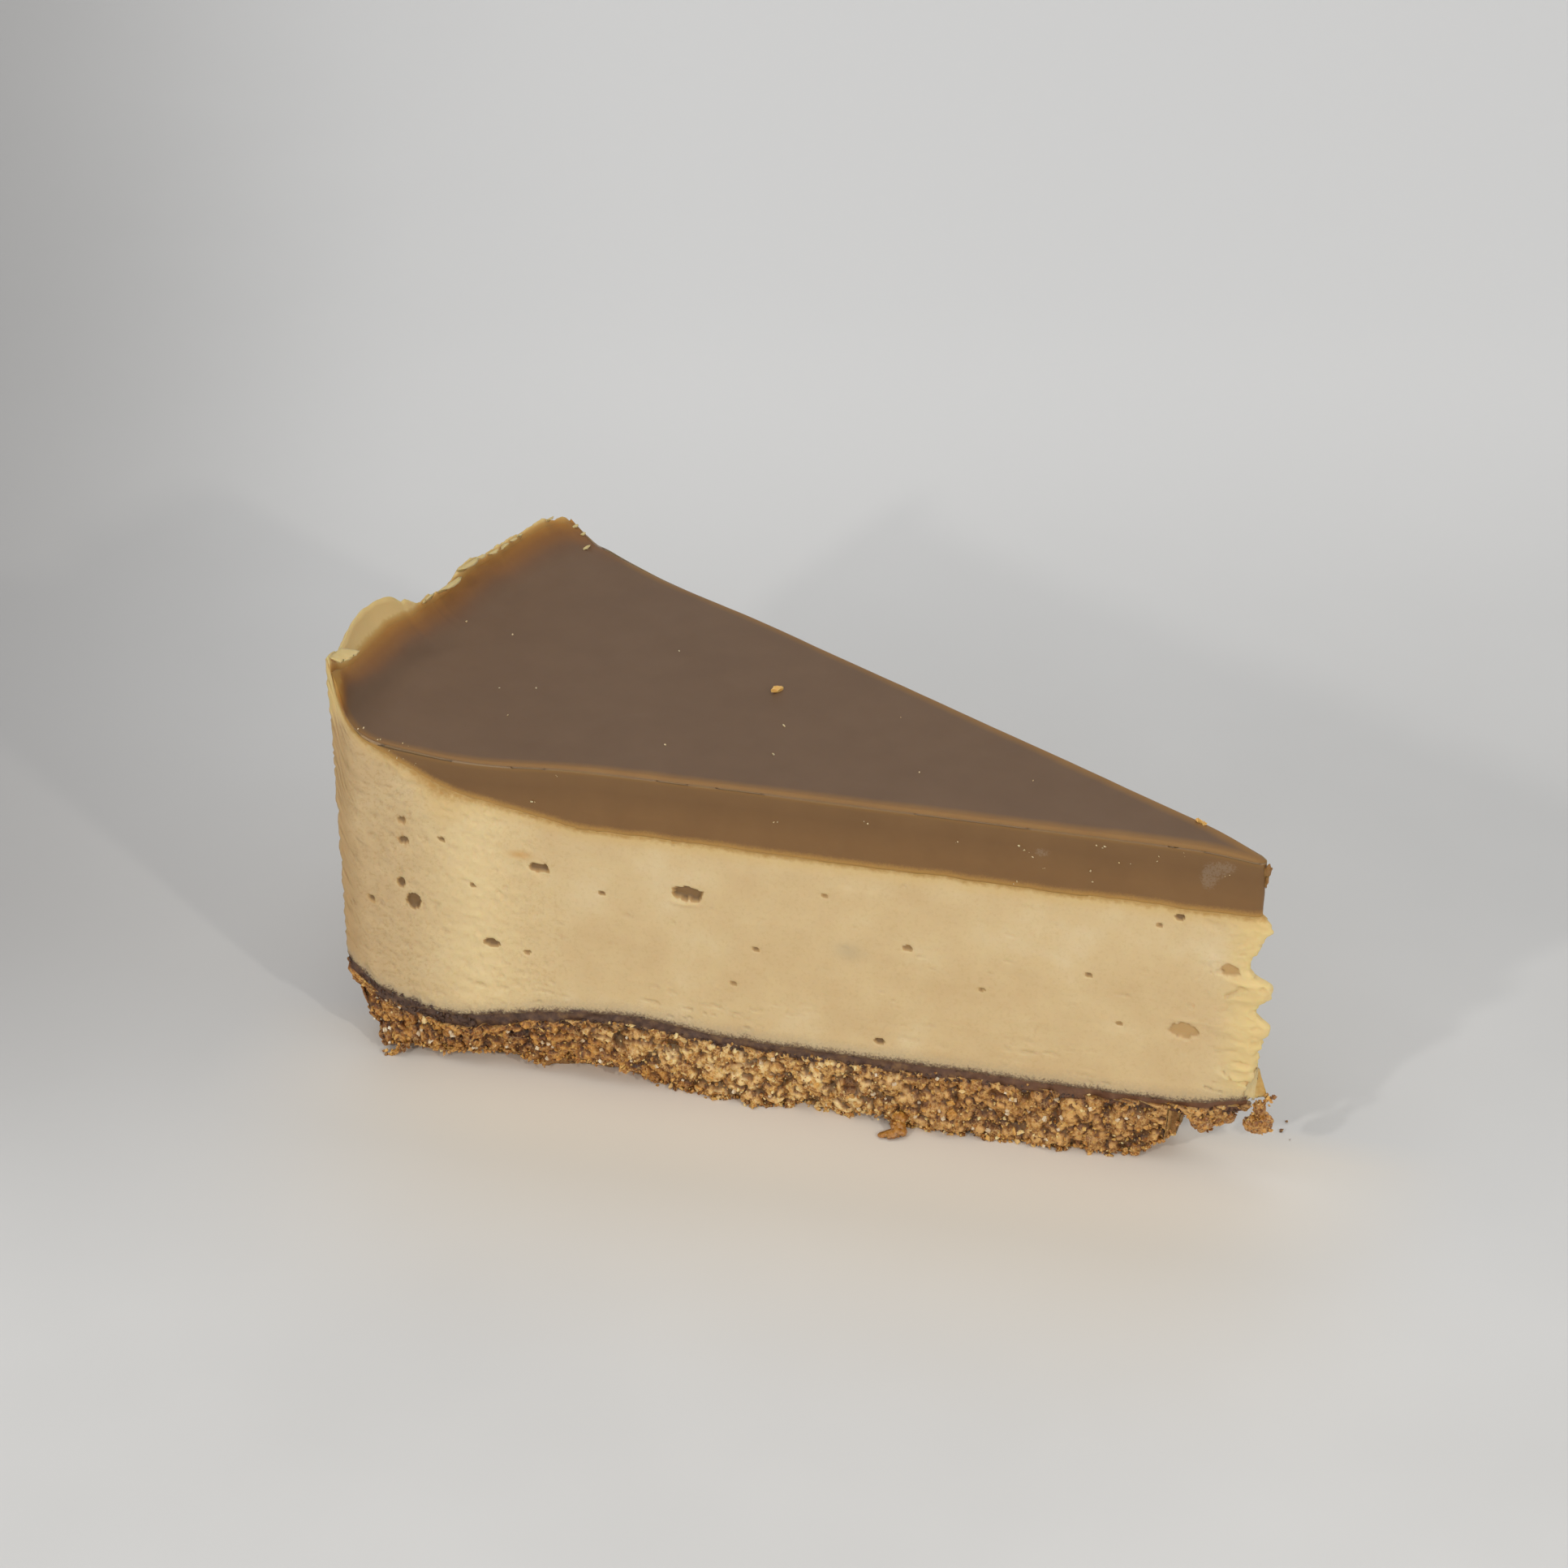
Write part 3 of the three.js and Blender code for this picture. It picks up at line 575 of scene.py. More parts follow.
def creamRelief(stations, z):
    rho, around = facePlace(stations, z)
    noise = {name: roughNoise(rho, around, z, *look) for name, look in cream["noises"].items()}
    grainy = 0.25 + 0.75 * smooth(rho, 82, 97)  # crumblier towards the outer wall
    # grain, swells and the knife's strokes
    out = (0.05 + 0.08 * grainy) * grainy * noise["grain"]
    out = out + cream["swellHeight"] * noise["swell"] + cream["dragHeight"] * noise["drag"]
    out = out - cream["pitDepth"] * smooth(noise["pits"], 0.5, 0.85) * (grainy - 0.2)
    # short tears that the knife opened, most of them just over the dark layer
    aboveSeam = z - wedge["seamLevel"]
    tornZone = smooth(aboveSeam, 0.5, 1.4) * (1 - smooth(aboveSeam, 3, 9))
    cracks = smooth(noise["crack"], 0.5, 0.9) * smooth(noise["patches"], -0.1, 0.7)
    out = out - cream["crackDepth"] * cracks * tornZone
    out = out - cream["nickDepth"] * smooth(noise["nick"], 0.85, 1.1) * (1 - tornZone)
    lips = sum(stand * blotch(stations, z, spot) for *spot, stand in cream["lips"])
    # the end was broken, not cut
    upright = smooth(z, 12.5, 14) * (1 - smooth(z, 36.3, 37.6))
    border = rho + 3.2 * latticeNoise(np.stack([rho, around, z], axis=-1) / 3.1, 27)
    broken = cream["plateHeight"] * stepped(noise["plates"], 3) + cream["gritHeight"] * noise["grit"]
    broken = (broken - cream["brokenSunk"]) * (1 - smooth(border, *cream["brokenReach"])) * upright
    out = out - poreShape(stations, z)[1] - tearDepth(stations, z) + lips + broken
    # its upper border lies flush with the spread's
    return out * smooth(z[0] - z, 0, 0.6)


def blotch(stations, z, spot):
    rho, height, length, tall = spot
    shape = bump((stations["rho"] - rho + 0 * z) / length) * bump((z - height) / tall)
    return shape * (stations["kind"] == -1)


closeUps = [(rho, length + 0.4, 0.2) for rho, _, length, *_ in cream["nearPores"] if length > 0.75]
stations = outline(radius, cream["nearStep"], cream["farStep"], cream["wallStep"], [*closeUps, (0, 5, 0.2)])
points, faces, sideSlice, z = closedLayer(
    stations, fillingTop, creamBottom, cream["rows"], cream["insets"], [0.6, 3, 9], creamRelief)
rho, phi = fromApex(points[:, 0], points[:, 1])
nowhere, far = np.zeros(len(points)), np.full(len(points), 30.0)
marks = {
    "hollow": nowhere.copy(), "smear": nowhere.copy(), "smudge": nowhere.copy(),
    "belowTop": far.copy(), "aboveSeam": far.copy(),
    "wallDistance": radius - rho + 4 * smooth(points[:, 2], 49, 51), "tipDistance": rho,
    # inside the rim, how far above the spread's edge
    "aboveFilm": np.where((rho > 108) & (rho < radius + 3), points[:, 2] - filmEdge(phi), 9.0),
    "lobe": smooth(points[:, 2], 49.5, 51),
    "grainy": 0.25 + 0.75 * smooth(rho, 82, 100),
    "crumbly": 0.75 * bump((rho - 98) / 7),
}
onCut = abs(stations["kind"]) < 2
# painted shade in the hollows, more where they are steep
marks["hollow"][sideSlice] = poreShape(stations, z)[0].ravel()
for name in ("smear", "smudge"):
    marks[name][sideSlice] = blotch(stations, z, cream[name]).ravel()
stained = 1 - 0.7 * bump((stations["rho"] - 101.5) / 4.5) * (stations["kind"] == -1)
marks["belowTop"][sideSlice] = np.where(onCut, (z[0] - z) * stained, 30).ravel()
marks["aboveSeam"][sideSlice] = (z - z[-1]).ravel()
marks["aboveFilm"][sideSlice] = 9

# Baked cream cheese: soft and slightly wet, so light sinks in and its grain shows only faintly
creamMaterial, tree, place, mark = newMaterial("bakedCreamCheese", marks)
cloud, grain, fleck, fuzz = [
    addNode(tree, "TexNoise", {"Vector": place, "Scale": perMetre(size), "Detail": detail, "Roughness": rough})
    for size, detail, rough in ((9, 4, 0.6), (0.5, 5, 0.7), (0.8, 3, 0.6), (0.3, 4, 0.7))]
colour = addNode(tree, "ValToRGB", {"Fac": cloud}, stops=[(0.3, "#d5b888"), (0.55, "#dcc292"), (0.75, "#e2cca1")])
tint = addNode(tree, "ValToRGB", {"Fac": grain}, stops=[(0.32, "#e2d5bd"), (0.5, "#ffffff"), (0.68, "#fffef8")])
colour = addNode(tree, "Mix", {0: mark["grainy"], 6: colour, 7: tint}, 2, data_type="RGBA", blend_type="MULTIPLY")
colour = addNode(tree, "Mix", {0: mark["crumbly"], 6: colour, 7: linear("#ecd4a0")}, 2, data_type="RGBA")
fuzzy = shifted(tree, mark["aboveSeam"], fuzz, 2.6)
atWall = shifted(tree, mark["wallDistance"], cloud, 3)
for layer in (
        ("#e9cf8e", mark["tipDistance"], 0.5, 5.5, 0.75),  # the broken end
        ("#b08e5b", atWall, 0.4, 3.4, 0.85),  # browned at the tin
        ("#bb9e76", atWall, 3, 20, 0.5),
        ("#b5a283", fuzzy, 0.2, 2.6, 0.6),  # greyed by the dark layer
        ("#67503e", fuzzy, 0.0, 0.9, 0.95)):
    colour = layeredColour(tree, colour, *layer)
colour = addNode(tree, "Mix", {0: mark["lobe"], 6: colour, 7: linear("#d4b87c")}, 2, data_type="RGBA")
colour = layeredColour(tree, colour, "#d9b777", mark["belowTop"], 0.3, 2.6, 0.6)  # the spread bleeds in
colour = layeredColour(tree, colour, "#b98d4a", shifted(tree, mark["belowTop"], fleck, 1.2), 0.0, 0.9, 0.9)
colour = filmColour(tree, colour, mark["aboveFilm"], fleck, -0.15, 0.35)
# hollows: painted shade, pale where they are shallow and darker where they are narrow and deep
inShadedHollow = addNode(tree, "MapRange", {"Value": mark["hollow"], "From Min": 0.02, "From Max": 0.06})
hollowShadeTone = addNode(tree, "ValToRGB", {"Fac": mark["hollow"]}, stops=[(0.08, "#c4a06a"), (0.3, "#8c6d46")])
colour = addNode(tree, "Mix", {0: inShadedHollow, 6: colour, 7: hollowShadeTone}, 2, data_type="RGBA")
for name, strength, tone in (("smear", 0.6, "#c8903e"), ("smudge", 0.35, "#b0a184")):
    share = addNode(tree, "Math", {0: mark[name], 1: strength}, operation="MULTIPLY")
    colour = addNode(tree, "Mix", {0: share, 6: colour, 7: linear(tone)}, 2, data_type="RGBA")
rise = addNode(tree, "Math", {0: grain, 1: mark["grainy"]}, operation="MULTIPLY")
finishMaterial(tree, {
    "Base Color": colour, "Roughness": 0.6, "IOR": 1.45, **softened(0.35, 1.0, 0.55, 0.25, 2.0),
    "Normal": addNode(tree, "Bump", {"Height": rise, "Strength": 0.3, "Distance": 0.1 / metre})})
piece = addPiece("creamFilling", points, faces, creamMaterial, marks)
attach(piece, "root")
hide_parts("cream_filling")

# The biscuit spread poured into the dish
spread = {
    "nearStep": 0.45, "farStep": 0.7, "wallStep": 0.32, "rows": 26, "edgeRadius": 0.5,
    "reach": 114.65, "sunk": 0.15,  # it runs a little way into the rim
    "insets": [0.04, 0.09, 0.15, 0.22, 0.32, 0.45, 0.6, 0.8, 1.05, 1.4, 1.8, 2.3, 3, 4, 5.5, 7.5, 10, 13],
    # sugar bloom on the near cut: distance from the tip, height, half length, half height
    "bloom": [(4.8, 44.6, 2.6, 1.5), (6.6, 42.4, 1.6, 2.0), (26.5, 43.5, 1.6, 1.0)],
}


def spreadRelief(stations, z):
    rho, around = facePlace(stations, z)
    swell = roughNoise(rho, around, z, [(9, 6), (3, 2.2)], 31)
    drag = roughNoise(rho, around, z, [(16, 0.9), (5, 0.5)], 33)
    out = (0.05 * swell + 0.022 * drag) * smooth(z - z[-1], 0, 0.6)
    return out - spread["sunk"] * smooth(rho, pour["radius"] - 0.2, pour["radius"] + 0.1)


def spreadRounding(stations, inset):
    # the knife leaves a soft edge on the cuts, and none at the wall
    cut = 1 - smooth(stations["rho"], pour["radius"] - 3, pour["radius"] - 0.5)
    cut = np.where(stations["kind"] == 2, 0, cut)
    share = max(0, 1 - inset / spread["edgeRadius"])
    return spread["edgeRadius"] * share ** 2 * cut


def heldInside(x, y):
    # beyond the pour's own radius its surfaces run level into the rim
    share = np.minimum(1, pour["radius"] / np.maximum(np.hypot(x - apexX, y - apexY), 1e-6))
    return apexX + (x - apexX) * share, apexY + (y - apexY) * share


def spreadTop(x, y):
    return toppingTop(*heldInside(x, y))


def dishUnder(x, y):
    x, y = heldInside(x, y)
    return np.minimum(fillingTop(x, y) - 0.1, spreadTop(x, y) - 0.2)


stations = outline(spread["reach"], spread["nearStep"], spread["farStep"], spread["wallStep"], [(0, 3, 0.25)])
points, faces, sideSlice, z = closedLayer(
    stations, spreadTop, dishUnder, spread["rows"], spread["insets"], [0.3, 1, 3, 7, 12],
    spreadRelief, spreadRounding)
rho, phi = fromApex(points[:, 0], points[:, 1])
thinned = bump(rho * np.sin(half - np.abs(phi)) / 2.2) * smooth(rho, 106, 111) * (phi < 0)
marks = {
    # the knife thinned it at the near corner
    "aboveFilm": np.where(rho > 104, np.minimum(-0.4, points[:, 2] - filmEdge(phi) + 4 * thinned), -9.0),
    # down the cut from its top edge, or less than 0 on top of it
    "downCut": -rho * np.sin(np.maximum(0, half - abs(phi))),
    "aboveCream": np.full(len(points), 9.0),
    "bloom": np.zeros(len(points)),
}
marks["aboveCream"][sideSlice] = (z - z[-1]).ravel()
marks["downCut"][sideSlice] = np.where(stations["kind"] == 2, -9, z[0] - z).ravel()
marks["bloom"][sideSlice] = np.clip(sum(blotch(stations, z, spot) for spot in spread["bloom"]), 0, 1).ravel()

# Set biscuit spread: fat and sugar, a smooth satin skin, more golden where a knife or the rim has thinned it
spreadMaterial, tree, place, mark = newMaterial("setBiscuitSpread", marks)
cloud, fine = [
    addNode(tree, "TexNoise", {"Vector": place, "Scale": perMetre(size), "Detail": 4, "Roughness": rough})
    for size, rough in ((6, 0.6), (0.28, 0.7))]
# 2 mm inside the top edge, at the edge, and down the cut
edgeShare = addNode(tree, "MapRange", {
    "Value": shifted(tree, mark["downCut"], cloud, 0.5), "From Min": -2, "From Max": 6})
ownColour = addNode(tree, "ValToRGB", {"Fac": edgeShare}, stops=[
    (0.08, "#6f563f"), (0.2, "#8a663a"), (0.28, "#946e3c"), (0.38, "#81603a"), (0.62, "#7d5c37"), (1.0, "#85623a")])
deepness = addNode(tree, "Math", {0: mark["aboveFilm"], 1: -1}, operation="MULTIPLY")
film = filmColour(tree, ownColour, mark["aboveFilm"], fine, 8, 9)
colour = layeredColour(tree, film, ownColour, deepness, 4.2, 2.2, 1)
colour = layeredColour(tree, colour, "#b98d4a", shifted(tree, mark["aboveCream"], fine, 0.8), 0.1, 1.2, 0.95)
bloomed = addNode(tree, "Math", {0: mark["bloom"], 1: fine}, operation="MULTIPLY", use_clamp=True)
colour = layeredColour(tree, colour, "#a99a86", bloomed, 0.52, 0.34, 0.28)
tint = addNode(tree, "ValToRGB", {"Fac": cloud}, stops=[(0.3, "#dcd6d0"), (0.7, "#ffffff")])
finishMaterial(tree, {
    "Base Color": addNode(tree, "Mix", {0: 0.35, 6: colour, 7: tint}, 2, data_type="RGBA", blend_type="MULTIPLY"),
    "Roughness": 0.5, "IOR": 1.46, "Specular IOR Level": 0.4, **softened(0.25, 1.0, 0.45, 0.15, 1.0),
    "Normal": addNode(tree, "Bump", {"Height": fine, "Strength": 0.12, "Distance": 0.05 / metre})})
piece = addPiece("biscuitSpread", points, faces, spreadMaterial, marks)
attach(piece, "root")
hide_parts("spread_topping")

# The dark layer, where the base has soaked
soak = {
    "nearStep": 0.4, "farStep": 0.8, "wallStep": 0.6, "rows": 9, "sunk": 0.2,
    "tucked": 0.45,  # how far it runs up behind the cream and down behind the crumbs
}


def soakRelief(stations, z):
    return 0.2 * roughNoise(*facePlace(stations, z), z, [(1.4, 0.9), (0.7, 0.5)], 51) - soak["sunk"]


stations = outline(radius, soak["nearStep"], soak["farStep"], soak["wallStep"], [(0, 3, 0.3)])
points, faces, sideSlice, z = closedLayer(
    stations, lambda x, y: seamTop(x, y) + soak["tucked"], lambda x, y: seamBottom(x, y) - soak["tucked"],
    soak["rows"], [0.5, 3, 9], [0.5, 3, 9], soakRelief)
marks = {"tipDistance": fromApex(points[:, 0], points[:, 1])[0]}

# Syrup-soaked biscuit: nearly black brown, moist, with a dull gloss, redder and drier towards the tip
soakMaterial, tree, place, mark = newMaterial("soakedBiscuit", marks)
cloud = addNode(tree, "TexNoise", {"Vector": place, "Scale": perMetre(1.2), "Detail": 5, "Roughness": 0.65})
colour = addNode(tree, "ValToRGB", {"Fac": cloud}, stops=[(0.3, "#3f2c24"), (0.52, "#5f4638"), (0.72, "#82633f")])
finishMaterial(tree, {
    "Base Color": layeredColour(tree, colour, "#7a5136", mark["tipDistance"], 10, 60, 0.6), "Roughness": 0.5,
    "IOR": 1.45, "Normal": addNode(tree, "Bump", {"Height": cloud, "Strength": 0.5, "Distance": 0.2 / metre})})
piece = addPiece("soakedLayer", points, faces, soakMaterial, marks)
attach(piece, "root")
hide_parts("dark_seam")

# The biscuit base: grains pressed together, and crumbs of three kinds standing out of it
crumb = {
    "nearStep": 0.22, "farStep": 0.42, "wallStep": 0.42, "rows": 42,
    "recess": 0.5, "clump": 2.1, "clumpRise": 0.9, "grain": 0.85, "grainRise": 0.6, "footRounding": 0.5,
    "footSwing": 1.0, "footBulge": (37.3, 5.5, 1.7), "notchAt": -9.3,
    # past the notch only what hangs from the dark layer is left:
    # how far ahead of the tip, height of its underside
    "hangs": [(-9.3, 8.4), (-8.2, 8.6), (-7.2, 7.2), (-2.6, 7.4), (-1.7, 9.7), (2, 9.9)],
    # hollows in the near cut, darkened with painted shade: distance from the tip, height, half length, half height,
    # depth
    "cavities": [
        (49.6, 5.1, 1.9, 1.3, 0.9), (93.2, 5.8, 1.6, 0.6, 0.7), (79.4, 7.2, 3.2, 0.55, 0.6), (30.8, 7.0, 1.4, 0.6, 0.7),
        (40.4, 4.4, 1.0, 0.6, 0.5), (62.5, 4.2, 1.0, 0.7, 0.5),
    ],
    # what broke off its foot: distance from the tip, side, height, half length, depth, half height
    "footBites": [
        (83, -1, -0.4, 8, 3.2, 3.2), (97, -1, -0.8, 9, 3.2, 2.9), (108, -1, -1, 6, 3, 2.6),
        (46, -1, -0.6, 4, 1.6, 1.6), (60, 1, -0.8, 8, 2.4, 3), (95, 1, -0.8, 7, 2.6, 2.8),
        (27, 1, -0.6, 5, 2, 2.2),
    ],
    # and off its tip: distance ahead of where the cuts aim, across, height, three half sizes
    "tipBites": [(-0.8, 0, 0.2, 12.1, 9, 5.3), (-11, -1.5, -0.6, 5, 5, 1.6)],
    "gap": (-8.8, 0.7, 3.2, 8.6),  # bare between foot and clusters: ahead, half width, two heights
    "tipClusters": [
        [(1.5, 0, 8.1, 1.75, 1.3, 1.7), (0.5, -0.1, 7.8, 1.2, 1.0, 1.2), (1.4, -0.2, 10.3, 0.9, 0.8, 1.4)],
        [(-3.1, 0, 8.1, 1.7, 1.4, 1.7), (-5.8, -0.7, 6.6, 1.9, 1.4, 2.1), (-4.4, 0.4, 7.2, 2.0, 1.4, 1.6)],
    ],
    # the dry crumb of the near cut ends here: heights, distances from the tip
    "dryHeights": [0, 2.4, 6, 9.3], "dryEnds": [68, 71.4, 79.7, 87],
    # an amber lump leans out of the foot of the near cut onto the table: place and half size
    "lump": [(15.6, -13.7, 0.75, 0.95), (14.8, -14.3, 0.45, 0.75), (13.9, -14.7, 0.35, 0.55), (15.1, -12.9, 1.1, 0.9),
             (15.1, -12.1, 1.7, 0.9)],
    # crumbs on the sides: face, mm between them, smallest and largest half size, fineness
    "sides": [
        (-1, 0.62, 0.17, 0.34, 1), (-1, 1.5, 0.3, 0.55, 1), (-1, 5, 0.5, 0.75, 2), (1, 1.2, 0.25, 0.5, 1),
        (1, 3, 0.5, 0.9, 2), (2, 1.2, 0.25, 0.5, 1), (2, 3, 0.5, 0.9, 2),
    ],
    "tallest": 12.5, "alongFoot": 950, "underTip": 5200, "underRings": 17, "seed": 20,
    # a crumb: its broken faces, how near them to its middle, how sharp between, uneven, how squashed
    "faces": 9, "cuts": (0.45, 1.0), "sharpness": 9, "uneven": 0.2, "stretch": (0.4, 1.35),
    # how many are moist and how many pale: where it is moist, and so much more where it is dry
    "moistShare": (0.62, -0.4), "paleShare": (0.04, 0.44), "tones": (0.15, 0.85),
    # crumbs sown on the clusters and the lump: how many on each, smallest and largest half size
    "onCluster": (26, 0.2, 0.38), "onLump": (30, 0.22, 0.42), "overTip": (16, 0.22, 0.42),
    "clusterShrunk": 0.85, "lowest": 0.02,  # nothing scattered lies lower than this over the table
    # loose ones beside the tip: place and half size
    "loose": [
        (57.4, 9.3, 0.25, 0.3), (57.3, 11.4, 0.2, 0.22), (55.6, 10.2, 0.15, 0.16), (59.0, 8.2, 0.12, 0.13),
    ],
    # and on the spread, most at its far edge: distance from the tip, degrees, half size
    "onTop": [(68.1, 4.8, 0.85)] + [(9.3 + 0.35 * i, 14.45 - 0.3 * (i % 2), 0.4) for i in range(4)],
    # blackish bits: how many, face, where they gather, how far from the surface, half sizes, surface
    "bits": [
        (90, -1, (105.5, 3.6), -1.7, 0.3, 0.22, 0.5, seamTop),
        (420, -1, None, -0.55, 0.3, 0.12, 0.28, seamBottom),
        (340, -1, None, -0.2, 0.35, 0.06, 0.13, seamTop),
        (200, 1, None, -0.5, 0.3, 0.15, 0.3, seamBottom),
        (120, 2, None, -0.5, 0.3, 0.15, 0.3, seamBottom),
    ],
}
draws = np.random.default_rng(crumb["seed"])


def biteReach(x, y):
    # how high what broke away reaches over a place
    hollows = []
    for rho, side, z, length, depth, tall in crumb["footBites"]:
        centre = (apexX - rho * math.cos(half), apexY + side * rho * math.sin(half))
        along = (x - centre[0]) * math.cos(half) - side * (y - centre[1]) * math.sin(half)
        inwards = (x - centre[0]) * math.sin(half) + side * (y - centre[1]) * math.cos(half)
        hollows.append((1 - (along / length) ** 2 - (inwards / depth) ** 2, z, tall))
    for ahead, across, z, length, wide, tall in crumb["tipBites"]:
        hollows.append((1 - ((x - apexX - ahead) / length) ** 2 - ((y - apexY - across) / wide) ** 2, z, tall))
    reach = np.full(np.shape(x), -1.0)
    for share, z, tall in hollows:
        reach = np.maximum(reach, np.where(share > 0, z + tall * np.sqrt(np.maximum(share, 0)), -1))
    ahead = x - apexX
    ragged = 0.5 * np.sin(2.3 * y) + 0.3 * np.sin(5.1 * y)
    return np.where(ahead > crumb["notchAt"] + ragged, np.interp(ahead, *np.array(crumb["hangs"]).T), reach)


def cavityShare(stations, z):
    # 1 in a hollow of the near cut, where painted shade darkens it, and how deep it goes
    share, depth = 0 * z, 0 * z
    wander = 0.35 * roughNoise(stations["rho"] + 0 * z, 0 * z, z, [(1.2, 1), (0.6, 0.5)], 67)
    for rho, height, length, tall, deep in crumb["cavities"]:
        reach = np.hypot((stations["rho"] - rho + 0 * z) / length, (z - height) / tall) + wander
        inside = (1 - smooth(reach, 0.5, 1.1)) * (stations["kind"] == -1)
        share, depth = np.maximum(share, inside), np.maximum(depth, inside * deep)
    return share, depth


def baseFoot(x, y):
    bites = biteReach(x, y)
    ragged = roughNoise(x, y, 0 * bites, [(1.4, 1), (0.6, 1)], 63)
    return np.maximum(0.1 + 0.1 * ragged, bites + 0.35 * ragged)


def baseTop(x, y):
    # crumbs reach up over the dark layer, most of all near the tip
    rho = fromApex(x, y)[0]
    ragged = roughNoise(x, y, 0 * rho, [(1.3, 1), (0.6, 1)], 65)
    return seamBottom(x, y) + 0.32 * ragged + 0.45 * (1 - smooth(rho, 8, 45))


def dryness(rho, phi, z):
    # pale and dry in the middle of the near cut, darker and moister towards the wall and the tip
    ends = np.interp(z, crumb["dryHeights"], crumb["dryEnds"])
    near = (1 - smooth(rho, ends - 1.5, ends + 1)) * (0.3 + 0.7 * smooth(rho, 35, 52))
    patches = smooth(roughNoise(rho, wedge["aroundScale"] * phi, z, [(14, 6)], 69), -0.3, 0.6)
    return np.where(phi < 0.6 * half, near, 0.7 * patches) * (1 - 0.4 * patches * (phi < 0))


def paleRidge(rho, phi, z):
    # a crest of pale crumb where the dry part ends
    ends = np.interp(z, crumb["dryHeights"], crumb["dryEnds"])
    return bump((rho - ends) / 1.3) * smooth(z, 3, 5) * (phi < -0.6 * half)


def dryShare(stations, z):
    rho, phi = stations["rho"] + 0 * z, stations["phi"] + 0 * z
    return np.maximum(dryness(rho, phi, z), paleRidge(rho, phi, z))


def baseSwell(stations, z):
    rho, around = facePlace(stations, z)
    phi = stations["phi"] + 0 * z
    rough = roughNoise(rho, around, z, [(5.5, 3.2), (2.4, 1.7)], 61)
    foot = roughNoise(rho, around, 0 * z, [(6, 1), (2.6, 1)], 59) * (1 - smooth(z, 0.5, 4.5))
    place, length, out = crumb["footBulge"]
    bulge = out * bump((rho - place) / length) * (1 - smooth(z, 1.5, 7)) * (phi < 0)
    return 0.5 * rough + 0.5 * paleRidge(rho, phi, z) + crumb["footSwing"] * foot + bulge


def baseGrains(stations, z):
    # how far the pressed grains stand out, the tone of each, and how much painted shade the gap beside it gets
    x, y = stations["x"] + 0 * z, stations["y"] + 0 * z
    points = np.stack([x, y, z], axis=-1)
    warp = [0.3 * latticeNoise(points / 0.7 + 5 * axis, 71 + axis) for axis in range(3)]
    x, y, height = x + warp[0], y + warp[1], z + warp[2]
    clumps, clumpTones = packedGrains(x, y, height, crumb["clump"], 73)
    grains, tones = packedGrains(x, y, height, crumb["grain"], 77)
    rise = crumb["clumpRise"] * clumps + crumb["grainRise"] * grains
    return rise, 0.5 + 0.32 * tones + 0.2 * clumpTones, np.minimum(clumps * 1.2, grains)


def coreRelief(stations, z):
    rise = baseGrains(stations, z)[0] - cavityShare(stations, z)[1]
    return baseSwell(stations, z) + rise - crumb["recess"] - crumb["clumpRise"] * 0.6


def roundedFoot(stations, z):
    return coreRelief(stations, z) - crumb["footRounding"] * (1 - smooth(z - z[-1], 0, 0.9))


stations = outline(radius, crumb["nearStep"], crumb["farStep"], crumb["wallStep"])
points, faces, sideSlice, z = closedLayer(
    stations, baseTop, baseFoot, crumb["rows"], [0.6, 2, 5, 9],
    [*np.arange(0.15, 3.2, 0.2), 3.6, 4.3, 5.5, 8, 12], roundedFoot)
underside = points[sideSlice.stop:-2].reshape(-1, len(stations["x"]), 3)
_, tones, gaps = baseGrains(stations, z)
marks = {name: np.full(len(points), 0.5) for name in ("tone", "open", "dry")}
marks["tone"][sideSlice] = tones.ravel()
# painted shade: low between the grains, lower still in the cavities
marks["open"][sideSlice] = (gaps * (1 - 0.8 * cavityShare(stations, z)[0])).ravel()
marks["dry"][sideSlice] = dryShare(stations, z).ravel()


def biscuitColour(tree, tone, place, stops, paleEdgeAndHighlight=0.6, paleEdgeAndHighlightTone="#f0c880"):
    # each grain its own tone, and flecks in it
    fleck = addNode(tree, "TexNoise", {"Vector": place, "Scale": perMetre(0.4), "Detail": 4, "Roughness": 0.7})
    mixed = addNode(tree, "Math", {0: fleck, 1: 0.9, 2: tone}, operation="MULTIPLY_ADD")
    centred = addNode(tree, "Math", {0: mixed, 1: 0.45}, operation="SUBTRACT", use_clamp=True)
    colour = addNode(tree, "ValToRGB", {"Fac": centred}, stops=stops)
    # thin pale edges of broken flakes, 0.6 mm apart: partly their own colour, partly a painted highlight
    swirl = addNode(tree, "VectorMath", {
        0: fleck.node.outputs["Color"], 1: (0.6 / metre,) * 3, 2: place}, operation="MULTIPLY_ADD")
    cells = addNode(tree, "TexVoronoi", {
        "Vector": swirl, "Scale": perMetre(0.6)}, "Distance", feature="DISTANCE_TO_EDGE")
    return layeredColour(tree, colour, paleEdgeAndHighlightTone, cells, 0, 0.12, paleEdgeAndHighlight), fleck


def finishBiscuit(tree, colour, fleck, roughness, gloss, sunkIn):
    height = addNode(tree, "Bump", {"Height": fleck, "Strength": 0.6, "Distance": 0.12 / metre})
    finishMaterial(tree, {
        "Base Color": colour, "Roughness": roughness, "IOR": 1.45, "Coat Weight": gloss, "Coat Roughness": 0.25,
        "Normal": height, **softened(0.3, 1.0, 0.5, 0.2, sunkIn)})


